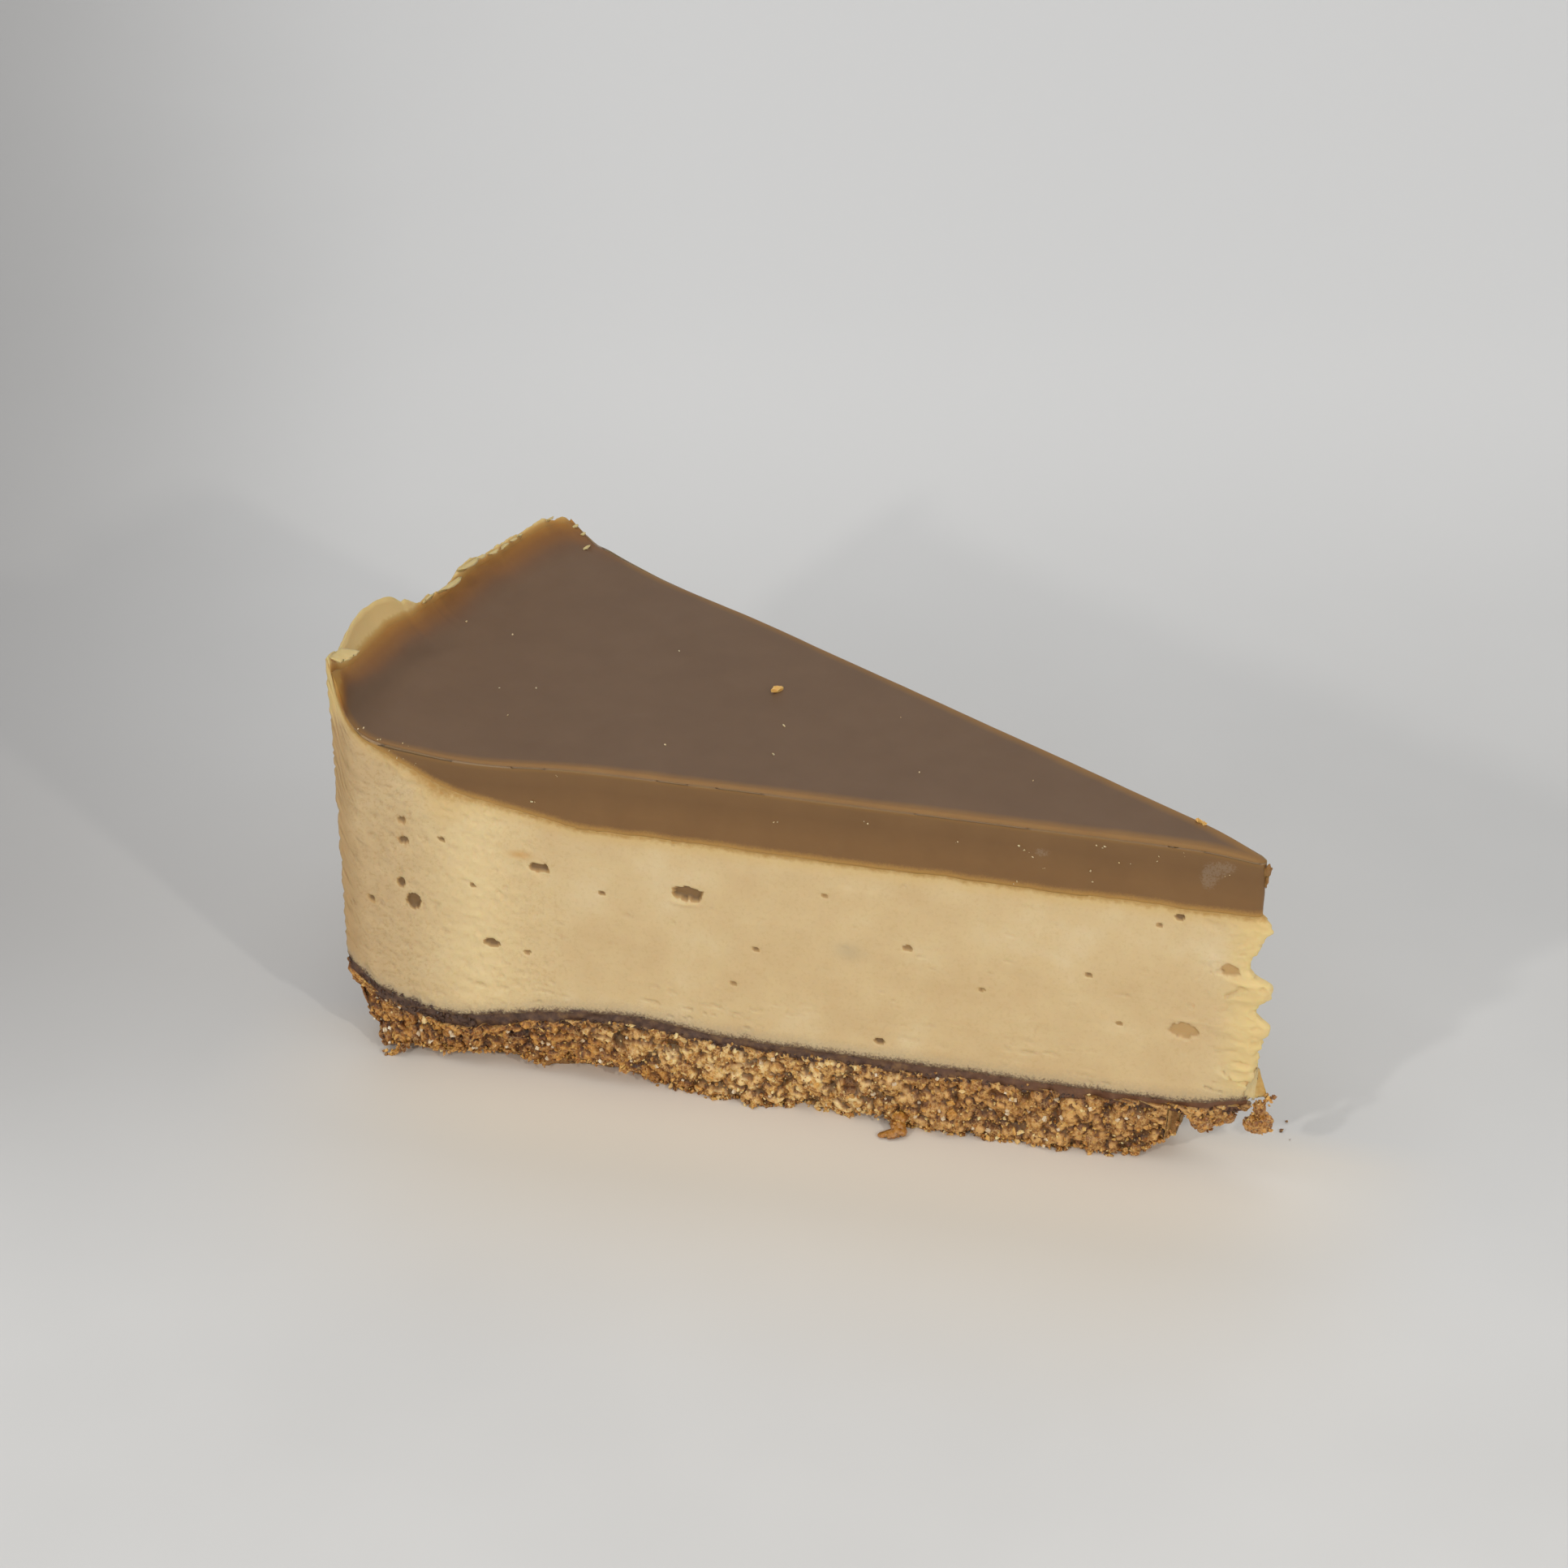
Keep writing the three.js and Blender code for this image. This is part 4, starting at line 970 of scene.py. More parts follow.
def biscuitMaterial(name, stops, roughness, gloss, paleEdgeAndHighlight=0.6, paleEdgeAndHighlightTone="#f0c880"):
    # loose baked crumb, matt where dry, moist ones with a little gloss
    material, tree, place, mark = newMaterial(name, ["tone"])
    finishBiscuit(tree, *biscuitColour(tree, mark["tone"], place, stops, paleEdgeAndHighlight, paleEdgeAndHighlightTone), roughness, gloss, 0.5)
    return material


moistTones = [(0.1, "#5f3818"), (0.45, "#986126"), (0.8, "#cc9344")]
goldenTones = [(0.1, "#7a491c"), (0.45, "#b27732"), (0.8, "#e2b060")]
dryTones = [(0.1, "#93602c"), (0.45, "#ce9c54"), (0.8, "#f6daa0")]

# Pressed biscuit crumb: rough and broken, its moist grains amber and a little glossy, its dry ones pale
coreMaterial, tree, place, mark = newMaterial("pressedBiscuit", marks)
moistColour, fleck = biscuitColour(tree, mark["tone"], place, moistTones, 0.35)
dryColour, _ = biscuitColour(tree, mark["tone"], place, dryTones, 0.7)
colour = addNode(tree, "Mix", {0: mark["dry"], 6: moistColour, 7: dryColour}, 2, data_type="RGBA")
# painted shade: darker in the gaps between grains and in the cavities
depth = addNode(tree, "ValToRGB", {"Fac": mark["open"]}, stops=[
    (0.0, "#50342a"), (0.3, "#94705a"), (0.75, "#ffffff")])
colour = addNode(tree, "Mix", {0: 0.8, 6: colour, 7: depth}, 2, data_type="RGBA", blend_type="MULTIPLY")
finishBiscuit(tree, colour, fleck, 0.6, 0.12, 0.7)
piece = addPiece("biscuitCore", points, faces, coreMaterial, marks)
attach(piece, "root")
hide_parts("biscuit_base")


def ballShape(subdivisions):
    shape = bmesh.new()
    bmesh.ops.create_icosphere(shape, subdivisions=subdivisions, radius=1)
    points = np.array([vertex.co for vertex in shape.verts])
    faces = np.array([[vertex.index for vertex in face.verts] for face in shape.faces])
    shape.free()
    return points, faces


def randomTurns(random, count):
    turns = np.linalg.qr(random.normal(size=(count, 3, 3)))[0]
    return turns * np.sign(np.linalg.det(turns))[:, None, None]  # no mirrored ones


def brokenCrumbs(places, sizes, tones, subdivisions):
    # each crumb is a ball with broken faces, squashed and turned at random
    ball, faces = ballShape(subdivisions)
    count = len(places)
    normals = draws.normal(size=(count, crumb["faces"], 3))
    normals /= np.linalg.norm(normals, axis=-1, keepdims=True)
    cuts = draws.uniform(*crumb["cuts"], (count, crumb["faces"]))
    reach = np.maximum(np.einsum("vj,kpj->kvp", ball, normals) / cuts[:, None], 0)
    size = (1 + (reach ** crumb["sharpness"]).sum(axis=-1)) ** (-1 / crumb["sharpness"])
    size = size * (1 + crumb["uneven"] * draws.normal(size=(count, len(ball))))
    shapes = ball * size[..., None] * draws.uniform(*crumb["stretch"], (count, 1, 3)) * sizes[:, None, None]
    points = places[:, None] + np.einsum("nij,nvj->nvi", randomTurns(draws, count), shapes)
    offsets = np.arange(count)[:, None, None] * len(ball)
    return points.reshape(-1, 3), (faces + offsets).reshape(-1, 3), np.repeat(tones, len(ball))


def joined(parts):
    # parts of points, faces and perhaps tones as one mesh
    points, faces, *tones = zip(*parts)
    starts = np.cumsum([0, *map(len, points)])
    faces = np.concatenate([face + start for face, start in zip(faces, starts)])
    return np.concatenate(points), faces.tolist(), *map(np.concatenate, tones)


def addCrumbs(name, groups, material):
    # groups: places, half sizes, tones, fineness
    points, faces, tones = joined(brokenCrumbs(*group) for group in groups)
    points[:, 2] = np.maximum(points[:, 2], crumb["lowest"])
    piece = addPiece(name, points, faces, material, {"tone": tones}, flat=True)
    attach(piece, "root")


def onSpread(rho, degrees, above):
    # a place so far above the spread
    phi = math.radians(degrees)
    x, y = apexX - rho * math.cos(phi), apexY + rho * math.sin(phi)
    return np.array([x, y, float(toppingTop(np.array(x), np.array(y))) + above])


fineStep = 0.1
fineStations = outline(radius, fineStep, fineStep, fineStep)


def sideCrumbPlaces(kind, spacing):
    # a jittered grid of places over one face of the base, between its foot and the dark layer
    found = (fineStations["kind"] == kind) | ((fineStations["kind"] == 0) & (kind < 0))
    onFace = np.flatnonzero(found)
    steps = int(len(onFace) * fineStep / spacing)
    rows = int(crumb["tallest"] / spacing)
    column = (np.arange(steps)[:, None] + draws.uniform(0, 1, (steps, rows))).ravel() * spacing / fineStep
    height = (np.arange(rows)[None] + draws.uniform(0, 1, (steps, rows))).ravel() * spacing
    return pickStations(fineStations, onFace[np.minimum(column.astype(int), len(onFace) - 1)]), height


kinds = {"moist": [], "golden": [], "pale": []}


def sortCrumbs(places, sizes, dry, subdivisions):
    # each crumb becomes moist, golden or pale, by how dry its place is
    draw = draws.uniform(0, 1, len(places))
    moistShare, paleShare = [share + more * dry for share, more in (crumb["moistShare"], crumb["paleShare"])]
    tones = draws.uniform(*crumb["tones"], len(places))
    moist, pale = draw < moistShare, draw > 1 - paleShare
    for name, chosen in (("moist", moist), ("pale", pale), ("golden", ~moist & ~pale)):
        kinds[name].append((places[chosen], sizes[chosen], tones[chosen], subdivisions))


for kind, spacing, small, large, subdivisions in crumb["sides"]:
    chosen, height = sideCrumbPlaces(kind, spacing)
    sizes = small + (large - small) * draws.uniform(0, 1, len(height)) ** 1.6
    out = coreRelief(chosen, height) - sizes * draws.uniform(-0.1, 0.6, len(height))
    places = sidePoint(chosen, height, out)
    x, y, z = places.T
    bare = np.maximum(0, biteReach(x, y)) + 0.3 * sizes
    ahead, halfWidth, low, high = crumb["gap"]
    gap = (abs(x - apexX - ahead) < halfWidth) & (z > low) & (z < high)
    kept = (height < baseTop(x, y) + 0.1) & (height > bare) & ~gap & (cavityShare(chosen, height)[0] < 0.4)
    sortCrumbs(places[kept], sizes[kept], dryShare(chosen, height)[kept], subdivisions)

# along the foot, so that its line is broken by crumbs
count = crumb["alongFoot"]
onFace = np.flatnonzero(fineStations["kind"] != 2)
spots = pickStations(fineStations, onFace[draws.integers(0, len(onFace), count)])
height = np.maximum(0.1, biteReach(spots["x"], spots["y"])) + draws.uniform(-0.2, 0.45, count)
sizes = draws.uniform(0.2, 0.5, count)
places = sidePoint(spots, height, coreRelief(spots, height) - 0.2)
clear = (spots["rho"] > 9.5) | (spots["phi"] > 0)
sortCrumbs(places[clear], sizes[clear], dryness(spots["rho"], spots["phi"], height)[clear], 1)

# over the underside where the tip and the foot broke away
count = crumb["underTip"]
ring = draws.integers(0, crumb["underRings"], count)
column = draws.integers(0, underside.shape[1] - 1, count)
share = draws.uniform(0, 1, (2, count, 1))
rows = [underside[ring + step, column] * (1 - share[0]) + underside[ring + step, column + 1] * share[0]
        for step in (0, 1)]
places = rows[0] * (1 - share[1]) + rows[1] * share[1]
rho = fromApex(places[:, 0], places[:, 1])[0]
raised = places[:, 2] > 0.5
steep = raised & (abs(rows[0] - rows[1])[:, 2] > 0.05) & (rho < 20)
steep |= raised & (draws.uniform(0, 1, len(rho)) < 0.25) & (rho < 112)
sizes = draws.uniform(0.25, 0.55, len(rho))
sortCrumbs(places[steep], sizes[steep], np.full(steep.sum(), 0.1), 1)


def fusedMass(balls, grain, grainRise, seed):
    # overlapping balls, each a place and three half sizes, as one lumpy body covered with grains
    ball, faces = ballShape(5)
    balls = np.array(balls)
    centre = np.average(balls[:, :3], axis=0, weights=balls[:, 3:].prod(axis=1))
    reach = np.full(len(ball), 1e-6)
    for halfSizes, away in zip(balls[:, 3:], centre - balls[:, :3]):
        ahead, away = ball / halfSizes, away / halfSizes
        a, b, c = (ahead ** 2).sum(axis=1), ahead @ away, away @ away - 1
        reach += np.where(b * b > a * c, np.maximum(0, np.sqrt(np.maximum(0, b * b - a * c)) - b) / a, 0) ** 8
    around = centre + ball * reach[:, None] ** 0.125
    grains, tones = packedGrains(*around.T, grain, seed)
    swell = roughNoise(*around.T, [(1.6, 1.4), (0.8, 0.7)], seed + 5)
    points = around + ball * (0.34 * swell + grainRise * (grains - 0.6))[:, None]
    # tones darker between the grains: painted shade, on top of each grain's own tone
    return points, faces, (0.62 + 0.3 * tones) * (0.6 + 0.4 * grains)


def sowCrumbs(sown, scatter, dry):
    # crumbs over a lump of syrup-bound crumb
    count, small, large = sown
    sortCrumbs(scatter, draws.uniform(small, large, count), np.full(count, dry), 1)


shrunk = crumb["clusterShrunk"]
clusters = [[(apexX + ahead, apexY + across, height, *[shrunk * size for size in sizes])
             for ahead, across, height, *sizes in cluster] for cluster in crumb["tipClusters"]]
points, faces, tones = joined(fusedMass(cluster, 0.66, 0.4, 91) for cluster in clusters)
# Syrup-bound crumb: amber, fused and glossy
clumpMaterial = biscuitMaterial("syrupBoundCrumb", moistTones, 0.4, 0.35, 0.4)
piece = addPiece("hangingClumps", points, faces, clumpMaterial, {"tone": tones}, flat=True)
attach(piece, "root")
for x, y, z, *halfSizes in clusters[0] + clusters[1]:
    spots = draws.normal(size=(crumb["onCluster"][0], 3))
    spots /= np.linalg.norm(spots, axis=-1, keepdims=True)
    sowCrumbs(crumb["onCluster"], spots * halfSizes + np.array([x, y, z]), 0.05)

points, faces, tones = joined([fusedMass(
    [(*spot, size, size, 0.7 * size) for *spot, size in crumb["lump"]], 0.75, 0.42, 95)])
points[:, 2] = np.maximum(points[:, 2], crumb["lowest"])
tones = 0.4 * tones + 0.22 + 0.45 * roughNoise(*points.T, [(1.2, 1), (0.5, 0.5)], 97)
scatter = draws.normal(size=(crumb["onLump"][0], 3)) * (0.5, 0.6, 0.45)
sowCrumbs(crumb["onLump"], np.array(crumb["lump"])[-1, :3] + scatter, 0.05)
# A drop of set syrup with crumb in it: clear amber
syrupTones = [(0.1, "#75461a"), (0.45, "#a56c24"), (0.8, "#c98f3c")]
syrupMaterial = biscuitMaterial("setSyrup", syrupTones, 0.35, 0.4, 0.2)
piece = addPiece("amberLump", points, faces, syrupMaterial, {"tone": tones})
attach(piece, "root")

scatter = draws.normal(size=(crumb["overTip"][0], 3)) * np.array([0.45, 0.3, 0.5])
sowCrumbs(crumb["overTip"], np.array([apexX + 2.4, apexY - 0.1, 12.3]) + scatter, 0.0)

# loose ones: beside the tip, on the spread, and along its far edge
loose = np.array(crumb["loose"])
kinds["moist"].append((loose[:, :3], 0.8 * loose[:, 3], np.full(len(loose), 0.1), 2))
for rho, degrees, size in crumb["onTop"]:
    place = onSpread(rho, degrees, 0.45 * size)
    kinds["golden"].append((place[None], np.array([size]), np.array([0.8]), 2))

for name, *look in (
        ("moist", moistTones, 0.5, 0.25, 0.35),  # syrup-soaked grains: amber and glossy
        ("golden", goldenTones, 0.65, 0.08, 0.55),  # baked golden grains: matt and warm
        ("pale", dryTones, 0.8, 0.0, 0.7)):  # dry grains: pale, dusty and matt
    addCrumbs(name + "Crumbs", kinds[name], biscuitMaterial(name + "Biscuit", *look))

# blackish soaked bits: at the thick end of the dark layer, and fine ones along both its borders
bitGroups = []
for count, kind, gathered, low, high, small, large, surface in crumb["bits"]:
    onFace = np.flatnonzero(fineStations["kind"] == kind)
    if gathered:
        wanted = draws.normal(*gathered, count)
        column = onFace[[np.argmin(abs(fineStations["rho"][onFace] - value)) for value in wanted]]
    else:
        column = onFace[draws.integers(0, len(onFace), count)]
    spots = pickStations(fineStations, column)
    height = surface(spots["x"], spots["y"]) + draws.uniform(low, high, count)
    places = sidePoint(spots, height, draws.uniform(*((-0.45, -0.05) if gathered else (-0.15, 0.02)), count))
    bitGroups.append((places, draws.uniform(small, large, count), np.full(count, 0.5), 1))
# Syrup that soaked in and baked nearly black
bitMaterial = biscuitMaterial(
    "blackenedBiscuit", [(0.2, "#2e211c"), (0.5, "#4a362c"), (0.8, "#6b5040")], 0.45, 0.1, 0.5, "#5c4232")
addCrumbs("soakedBits", bitGroups, bitMaterial)

# Coarse sugar in the base: hard clear grains with flat sides
sugar = {"faces": [((-1, 0), 70), ((1, 2), 60)], "small": 0.13, "large": 0.25, "seed": 9}
sugarDraws = np.random.default_rng(sugar["seed"])


def squareGrains(places, sizes):
    corners = np.array([(x, y, z) for x in (-1, 1) for y in (-1, 1) for z in (-1, 1)], dtype=float)
    sides = np.array([(0, 1, 3, 2), (4, 6, 7, 5), (0, 4, 5, 1), (2, 3, 7, 6), (0, 2, 6, 4), (1, 5, 7, 3)])
    turns = randomTurns(sugarDraws, len(places))
    stretch = sugarDraws.uniform(0.7, 1.2, (len(places), 1, 3))
    points = places[:, None] + np.einsum("nij,ncj->nci", turns, corners * stretch) * sizes[:, None, None]
    return points.reshape(-1, 3), (sides + 8 * np.arange(len(places))[:, None, None]).reshape(-1, 4).tolist()


grainPlaces, grainSizes = [], []
for faceKinds, count in sugar["faces"]:
    onFace = np.flatnonzero(np.isin(fineStations["kind"], faceKinds))
    spots = pickStations(fineStations, onFace[sugarDraws.integers(0, len(onFace), 4 * count)])
    height = sugarDraws.uniform(0.5, 9, 4 * count)
    low = np.maximum(0, biteReach(spots["x"], spots["y"])) + 0.5
    wanted = sugarDraws.uniform(0, 1, 4 * count) > 0.75 * dryness(spots["rho"], spots["phi"], height)
    wanted &= (height > low) & (height < baseTop(spots["x"], spots["y"]) - 0.5) & (spots["rho"] > 10)
    chosen = np.flatnonzero(wanted)[:count]
    spots, height = pickStations(spots, chosen), height[chosen]
    grainPlaces.append(sidePoint(spots, height, coreRelief(spots, height) + 0.05))
    grainSizes.append(sugarDraws.uniform(sugar["small"], sugar["large"], len(chosen)))
points, faces = squareGrains(np.concatenate(grainPlaces), np.concatenate(grainSizes))
points[:, 2] = np.maximum(points[:, 2], crumb["lowest"])
# Sugar: clear, hard and bright
sugarMaterial, tree, place, _ = newMaterial("coarseSugar")
fleck = addNode(tree, "TexNoise", {"Vector": place, "Scale": perMetre(0.3), "Detail": 2, "Roughness": 0.5})
colour = addNode(tree, "ValToRGB", {"Fac": fleck}, stops=[(0.35, "#e6c592"), (0.65, "#faecd0")])
finishMaterial(tree, {"Base Color": colour, "Roughness": 0.12, "IOR": 1.54, "Transmission Weight": 0.15})
piece = addPiece("sugarGrains", points, faces, sugarMaterial, flat=True)
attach(piece, "root")

# Torn shreds of cream along the rim and at the tip, and a flap of spread
shred = {
    "seed": 33, "grid": 9, "sheetAcross": 17, "sheetDown": 13, "inRim": 0.4,
    "ragged": ((2, 0.12), (3, 0.16), (5, 0.12), (8, 0.08)),  # waves round the outline, how deep
    # along the rim: degrees, height, out, length, width, curl, lean inwards, how torn
    "alongRim": [
        (-0.7, 51.7, -0.4, 2.6, 1.2, 0.2, 0.5, 0.8), (1.5, 51.6, -0.8, 4.8, 1.7, 0.55, 0.8, 0.3),
        (3.5, 52.5, -0.8, 4.2, 1.7, 0.55, 0.8, 0.3), (5.0, 52.3, -0.8, 1.8, 1.0, 0.35, 1.0, 0.6),
        (6.4, 51.6, -0.7, 1.9, 0.9, 0.35, 0.9, 0.6), (7.6, 51.3, -0.8, 1.7, 0.8, -0.3, 1.0, 0.6),
        (8.6, 51.4, -0.5, 1.3, 0.7, 0.3, 0.9, 0.8), (9.4, 51.2, -0.2, 1.1, 0.7, 0.25, 0.5, 1),
        (12.3, 51.2, -0.4, 1.2, 0.7, 0.2, 0.7, 1),
    ],
    # at the far corner, and one on the spread: distance from the tip, degrees, above the spread, length, width
    "onSpread": [(113.6, 14.3, 0.1, 1.0, 0.7), (112.2, 14.35, 0.1, 0.8, 0.6), (110.2, 13.6, 0.12, 1.3, 0.6)],
}
shredDraws = np.random.default_rng(shred["seed"])


def tornShred(centre, along, across, length, width, curl, thickness, torn=1.0):
    # a thin plate with a ragged outline and sharp edges, bent along its length
    n = shred["grid"]
    u, v = np.meshgrid(np.linspace(-1, 1, n), np.linspace(-1, 1, n), indexing="ij")
    discU, discV = u * np.sqrt(1 - v * v / 2), v * np.sqrt(1 - u * u / 2)
    angle, share = np.arctan2(discV, discU), np.hypot(discU, discV)
    ragged = 1 + torn * sum(depth * np.sin(order * angle + shredDraws.uniform(0, 6.3))
                            for order, depth in shred["ragged"])
    along = np.array(along, dtype=float) / np.linalg.norm(along)
    normal = np.cross(along, across)
    normal /= np.linalg.norm(normal)
    across = np.cross(normal, along)
    bend = curl * discV ** 2 + 0.25 * curl * discU + 0.12 * torn * width * shredDraws.uniform(-1, 1, (n, n)) * share
    thick = thickness / 2 * np.sqrt(np.maximum(0, 1 - share ** 4))
    sheet = (np.array(centre) + (discU * ragged)[..., None] * along * length / 2
             + (discV * ragged)[..., None] * across * width / 2)
    return closedSheet(sheet + (bend + thick)[..., None] * normal, sheet + (bend - thick)[..., None] * normal)


def closedSheet(upper, lower):
    # two grids of points that meet along their border
    n, m = upper.shape[:2]
    top = np.arange(n * m).reshape(n, m)
    bottom = top.copy()
    bottom[1:-1, 1:-1] = n * m + np.arange((n - 2) * (m - 2)).reshape(n - 2, m - 2)
    points = np.concatenate([upper.reshape(-1, 3), lower[1:-1, 1:-1].reshape(-1, 3)])
    faces = []
    for i in range(n - 1):
        for j in range(m - 1):
            faces.append((top[i, j], top[i + 1, j], top[i + 1, j + 1], top[i, j + 1]))
            faces.append((bottom[i, j], bottom[i, j + 1], bottom[i + 1, j + 1], bottom[i + 1, j]))
    return points, np.array(faces)


def sheetBetween(upperLine, lowerLine, faceNormal, thickness, frayed):
    # a thin sheet stretched between two lines of points, with a frayed lower border
    count = shred["sheetAcross"]
    across = np.linspace(0, len(lowerLine) - 1, count)
    upper, lower = [
        np.stack([np.interp(across, range(len(line)), axis) for axis in np.array(line).T], axis=-1)
        for line in (upperLine, lowerLine)]
    down = np.linspace(0, 1, shred["sheetDown"])[:, None, None]
    sheet = upper * (1 - down) + lower * down
    sheet[-1] += frayed * shredDraws.normal(size=(count, 3))
    sheet += 0.2 * frayed * shredDraws.normal(size=sheet.shape)
    lifted = np.array(faceNormal) * thickness / 2
    return closedSheet(sheet + lifted, sheet - lifted)


def roundPlace(rho, degrees, height):
    # a place at a distance from the tip, and the way round the slice there
    phi = math.radians(degrees)
    return (apexX - rho * math.cos(phi), apexY + rho * math.sin(phi), height), (math.sin(phi), math.cos(phi), 0)


shreds = []
for degrees, height, out, length, width, curl, lean, torn in shred["alongRim"]:
    centre, along = roundPlace(radius - shred["inRim"] + out, degrees, height)
    across = np.array([along[1] * lean, -along[0] * lean, 1 - 0.5 * lean])
    shreds.append((centre, along, across, length, width, curl, 0.2, torn))
# folded over the near corner, from the rim inwards
cornerFlap = sheetBetween(
    [(-54.9, -28.7, 57.9), (-55.0, -27.0, 57.5), (-55.2, -25.2, 57.2)],
    [(-53.4, -28.1, 57.2), (-53.0, -26.7, 57.2), (-52.6, -24.8, 57.3)], (0.2, 0, 1), 0.3, 0.14)
for rho, degrees, above, length, width in shred["onSpread"]:
    _, (sine, cosine, _) = roundPlace(rho, degrees, 0)
    shreds.append((onSpread(rho, degrees, above), (sine, cosine, 0.2), (1, 0, 0.3), length, width, 0.2, 0.2, 0.8))
# the pale three-cornered flake at the foot of the broken end
top = (apexX + 0.6, apexY - 0.15, 16.4)
flake = sheetBetween(
    [top, (top[0] + 0.1, *top[1:]), (top[0] + 0.2, *top[1:]), (top[0] + 0.3, *top[1:])],
    [(apexX - 0.8, apexY - 0.7, 12.2), (apexX + 0.5, apexY - 1.05, 11.9), (apexX + 1.1, apexY - 0.5, 12.1),
     (apexX + 2.2, apexY + 0.1, 12.4)], (0.1, -1, 0.3), 0.25, 0.16)
points, faces = joined([*(tornShred(*look) for look in shreds), cornerFlap, flake])
goldenLeaf = (points[:, 0] > apexX + 0.85) & (points[:, 2] < 17)  # the flake's far part
piece = addPiece("tornShreds", points, faces, creamMaterial, {
    "belowTop": np.where(goldenLeaf, 0.3, 9.0), "lobe": 0.8 * (points[:, 2] > 45), "aboveSeam": 9,
    "aboveFilm": 9, "wallDistance": 9, "tipDistance": 3, "grainy": 0.5, "crumbly": 0})
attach(piece, "root")

flap = [((apexX + 0.1, apexY - 0.2, 44.6), (0.25, -0.3, 1), (1, 0.2, 0), 2.6, 1.0, 0.2, 0.35),
        ((apexX - 0.1, apexY + 0.2, 43.2), (-0.2, 0.2, 1), (1, -0.2, 0), 1.8, 0.9, -0.2, 0.35)]
points, faces = joined(tornShred(*look) for look in flap)
piece = addPiece("spreadFlap", points, faces, spreadMaterial, {"aboveFilm": -9, "downCut": 0.3, "aboveCream": 9})
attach(piece, "root")

# Pale specks of sugar and crumb that stuck to the spread
speck = {
    "seed": 14, "grains": 2,  # each on the cut is a few grains together
    # on the near cut: distance from the tip, height, half size
    "onCut": [
        (20.1, 41.5, 0.3), (20.2, 45.5, 0.22), (17.0, 43.4, 0.25), (12.5, 45.0, 0.22), (9.7, 45.9, 0.18),
        (19.0, 45.3, 0.2), (27.9, 42.7, 0.25), (28.8, 43.7, 0.28), (26.4, 41.2, 0.18), (4.3, 43.9, 0.2),
        (29.3, 38.9, 0.22), (111.2, 48.7, 0.25), (108.9, 47.4, 0.2), (107.4, 45.7, 0.22), (106.2, 45.2, 0.18),
        (105.2, 47.4, 0.18), (104.4, 44.4, 0.2), (89.8, 41.2, 0.25), (86.0, 45.6, 0.15), (59.0, 43.0, 0.16),
        (48.0, 44.2, 0.18), (37.0, 43.4, 0.2),
    ],
    # on top: distance from the tip, degrees, half size
    "onTop": [
        (63.3, -1.1, 0.3), (61.8, -7.1, 0.28), (110.6, 0.8, 0.16), (104.6, 1.6, 0.18), (95.8, -3.8, 0.15),
        (96.4, -8.0, 0.13), (100.0, -4.9, 0.13), (31, 3, 0.15), (44, -4, 0.13), (75, -9, 0.15), (84, 6, 0.14),
        (52, 8, 0.12),
    ],
}
places, sizes = [], []
speckDraws = np.random.default_rng(speck["seed"])
onFace = np.flatnonzero(fineStations["kind"] == -1)
for rho, height, size in speck["onCut"]:
    for _ in range(speck["grains"]):
        station = pickStations(fineStations, onFace[[np.argmin(abs(fineStations["rho"][onFace] - rho))]])
        level = height + speckDraws.normal(0, 1.4 * size)
        moved = {**station, "x": station["x"] + speckDraws.normal(0, 1.6 * size)}
        moved["y"] = station["y"] + (moved["x"] - station["x"]) * math.tan(half)
        places.append(sidePoint(moved, np.array([level]), 0.05)[0])
        sizes.append(size * speckDraws.uniform(0.3, 0.8))
for rho, degrees, size in speck["onTop"]:
    places.append(onSpread(rho, degrees, 0.3 * size))
    sizes.append(size)
# Sugar and dry crumb: pale and matt
speckTones = [(0.1, "#a08a66"), (0.5, "#bfa67c"), (0.9, "#d8c6a0")]
addCrumbs("paleSpecks", [(np.array(places), np.array(sizes), np.full(len(sizes), 0.9), 1)],
          biscuitMaterial("paleSpeckCrumb", speckTones, 0.7, 0.0))

# Light, paper and camera
stageLook = {
    "floorDepth": 1.6, "floorWidth": 3.2, "bendStart": 0.22, "bendRadius": 0.5, "wallHeight": 1.6,
    # painted light and shade on the sheet: metres behind the slice, and to its side as a share of the distance
    "paintedLightAndShade": {"#e8e8e6": ((0.05, 0.2), (-0.24, -0.02)), "#b4b3b1": ((-0.06, 0.04), (-0.1, -0.26))},
    # light that the cut throws onto the sheet: tone, how far it reaches in metres, how strong
    "glow": [("#d4cbbb", 0.06, 0.75), ("#ede5d8", 0.02, 0.8)],
    "glowAlong": [(-0.08, -0.03), (0.085, 0.04)],
}
view = {
    "azimuth": 27.9, "elevation": 32.6, "distance": 529.5, "roll": -0.16, "lens": 93.17, "sensor": 36,
    "aim": (apexX - 74.0, apexY + 19.0, 23.96),
}
across, up = math.radians(view["azimuth"]), math.radians(view["elevation"])
towards = Vector((math.sin(across) * math.cos(up), -math.cos(across) * math.cos(up), math.sin(up)))
aim = Vector(view["aim"]) / metre
camera = bpy.data.objects.new("camera", bpy.data.cameras.new("camera"))
camera.data.lens = view["lens"]
camera.data.sensor_width = view["sensor"]
camera.data.clip_start = 0.01
camera.location = aim + towards * view["distance"] / metre
camera.rotation_mode = "QUATERNION"
camera.rotation_quaternion = towards.to_track_quat("Z", "Y") @ Quaternion((0, 0, 1), math.radians(view["roll"]))
bpy.context.scene.collection.objects.link(camera)
bpy.context.scene.camera = camera

ahead = Vector((-math.sin(across), math.cos(across), 0))  # the way the camera looks, on the floor
sideways = Vector((math.cos(across), math.sin(across), 0))

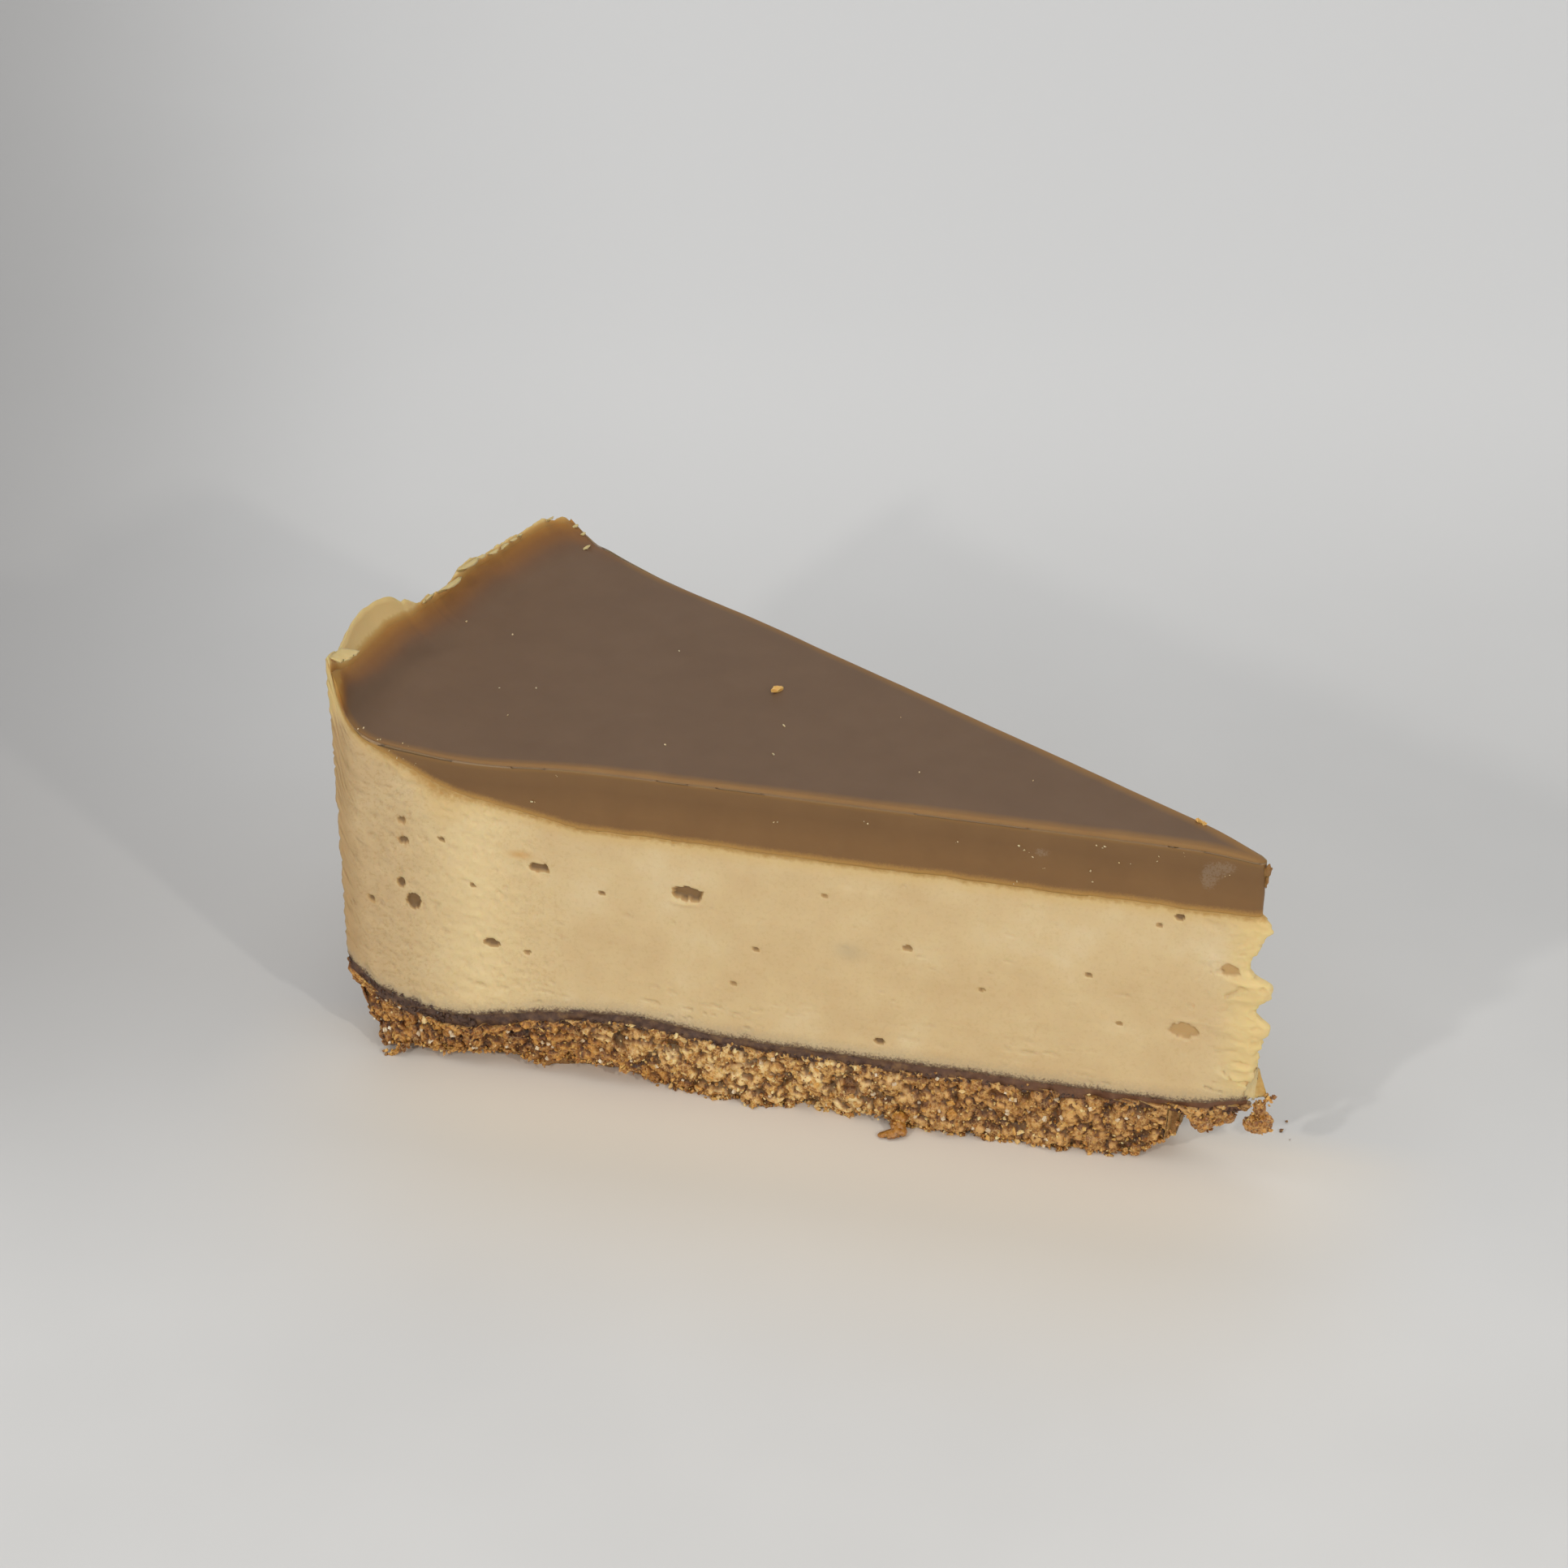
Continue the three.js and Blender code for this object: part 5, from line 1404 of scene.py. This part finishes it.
# Plain matt paper, swept up behind the slice: painted light makes it paler far behind, painted shade greyer to the left
paperMaterial, tree, place, _ = newMaterial("mattPaper")
cloud = addNode(tree, "TexNoise", {"Vector": place, "Scale": perMetre(60), "Detail": 3, "Roughness": 0.5})
colour = addNode(tree, "ValToRGB", {"Fac": cloud}, stops=[(0.3, "#cfcfcd"), (0.7, "#d5d5d3")])
# how far behind, to the side, in front of the near cut and along it
depth, aside, inFront, along = [
    addNode(tree, "VectorMath", {0: place, 1: direction}, "Value", operation="DOT_PRODUCT")
    for direction in (ahead, sideways, (math.sin(half), -math.cos(half), 0), (math.cos(half), math.sin(half), 0))]
reach = addNode(tree, "Math", {0: depth, 1: 0.45}, operation="ADD")
turned = addNode(tree, "Math", {0: aside, 1: reach}, operation="DIVIDE")
# painted light far behind the slice, painted shade to its left
for tone, ranges in stageLook["paintedLightAndShade"].items():
    shares = [addNode(
        tree, "MapRange", {"Value": value, "From Min": low, "From Max": high}, interpolation_type="SMOOTHSTEP")
        for value, (low, high) in zip((depth, turned), ranges)]
    share = addNode(tree, "Math", {0: shares[0], 1: shares[1]}, operation="MULTIPLY")
    colour = addNode(tree, "Mix", {0: share, 6: colour, 7: linear(tone)}, 2, data_type="RGBA")
# a warm glow in front of the near cut, strongest at its foot
cutPlace = (apexX * math.sin(half) - apexY * math.cos(half)) / metre
glowing = addNode(tree, "MapRange", {"Value": inFront, "From Min": cutPlace - 0.01, "From Max": cutPlace - 0.004})
for low, high in stageLook["glowAlong"]:
    beside = addNode(tree, "MapRange", {
        "Value": along, "From Min": low, "From Max": high}, interpolation_type="SMOOTHSTEP")
    glowing = addNode(tree, "Math", {0: beside, 1: glowing}, operation="MULTIPLY")
for tone, reach, most in stageLook["glow"]:
    share = addNode(tree, "MapRange", {
        "Value": inFront, "From Min": cutPlace, "From Max": cutPlace + reach, "To Min": most, "To Max": 0,
    }, interpolation_type="SMOOTHSTEP")
    share = addNode(tree, "Math", {0: share, 1: glowing}, operation="MULTIPLY")
    colour = addNode(tree, "Mix", {0: share, 6: colour, 7: linear(tone)}, 2, data_type="RGBA")
finishMaterial(tree, {"Base Color": colour, "Roughness": 0.9})
bend = stageLook["bendRadius"]
profile = [(-stageLook["floorDepth"], 0), (stageLook["bendStart"], 0)]
for turn in np.radians(np.linspace(0, 90, 25))[1:]:
    profile.append((stageLook["bendStart"] + bend * math.sin(turn), bend * (1 - math.cos(turn))))
profile.append((profile[-1][0], stageLook["wallHeight"]))
points = []
for depth, height in profile:
    for side in (-1, 1):
        spot = ahead * depth + sideways * side * stageLook["floorWidth"] / 2
        points.append((spot.x * metre, spot.y * metre, height * metre))
faces = [(2 * i, 2 * i + 1, 2 * i + 3, 2 * i + 2) for i in range(len(profile) - 1)]
paper = addPiece("paper", np.array(points), faces, paperMaterial)
paper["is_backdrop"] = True

lights = {
    # name: place in metres, size, watts, colour; two low lamps in front, one large and high
    "rightLamp": ((0.317, -0.195, 0.234), 0.02, 0.355, "#fffaf2"),
    "leftLamp": ((-0.052, -0.385, 0.236), 0.025, 0.395, "#fffcf8"),
    "highSoftbox": ((-0.1, 0.05, 0.8), 0.9, 1.7, "#fdfdff"),
}
for name, (spot, size, power, colour) in lights.items():
    lamp = bpy.data.objects.new(name, bpy.data.lights.new(name, "AREA"))
    lamp.data.shape = "DISK"
    lamp.data.size = size
    lamp.data.energy = power
    lamp.data.color = linear(colour)[:3]
    lamp.location = spot
    lamp.rotation_mode = "QUATERNION"
    lamp.rotation_quaternion = Vector(spot).to_track_quat("Z", "Y")
    lamp.visible_camera = False
    bpy.context.scene.collection.objects.link(lamp)

world = bpy.data.worlds.new("whiteRoom")
world.use_nodes = True
world.node_tree.nodes["Background"].inputs["Color"].default_value = linear("#f4f4f6")
world.node_tree.nodes["Background"].inputs["Strength"].default_value = 0.6
bpy.context.scene.world = world
bpy.context.scene.view_settings.view_transform = "Standard"

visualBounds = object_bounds()
sizes = {name: [[float(value) for value in corner] for corner in bounds]
         for name, bounds in (("cad", packedBounds), ("visual", visualBounds))}
print("size:", sizes)
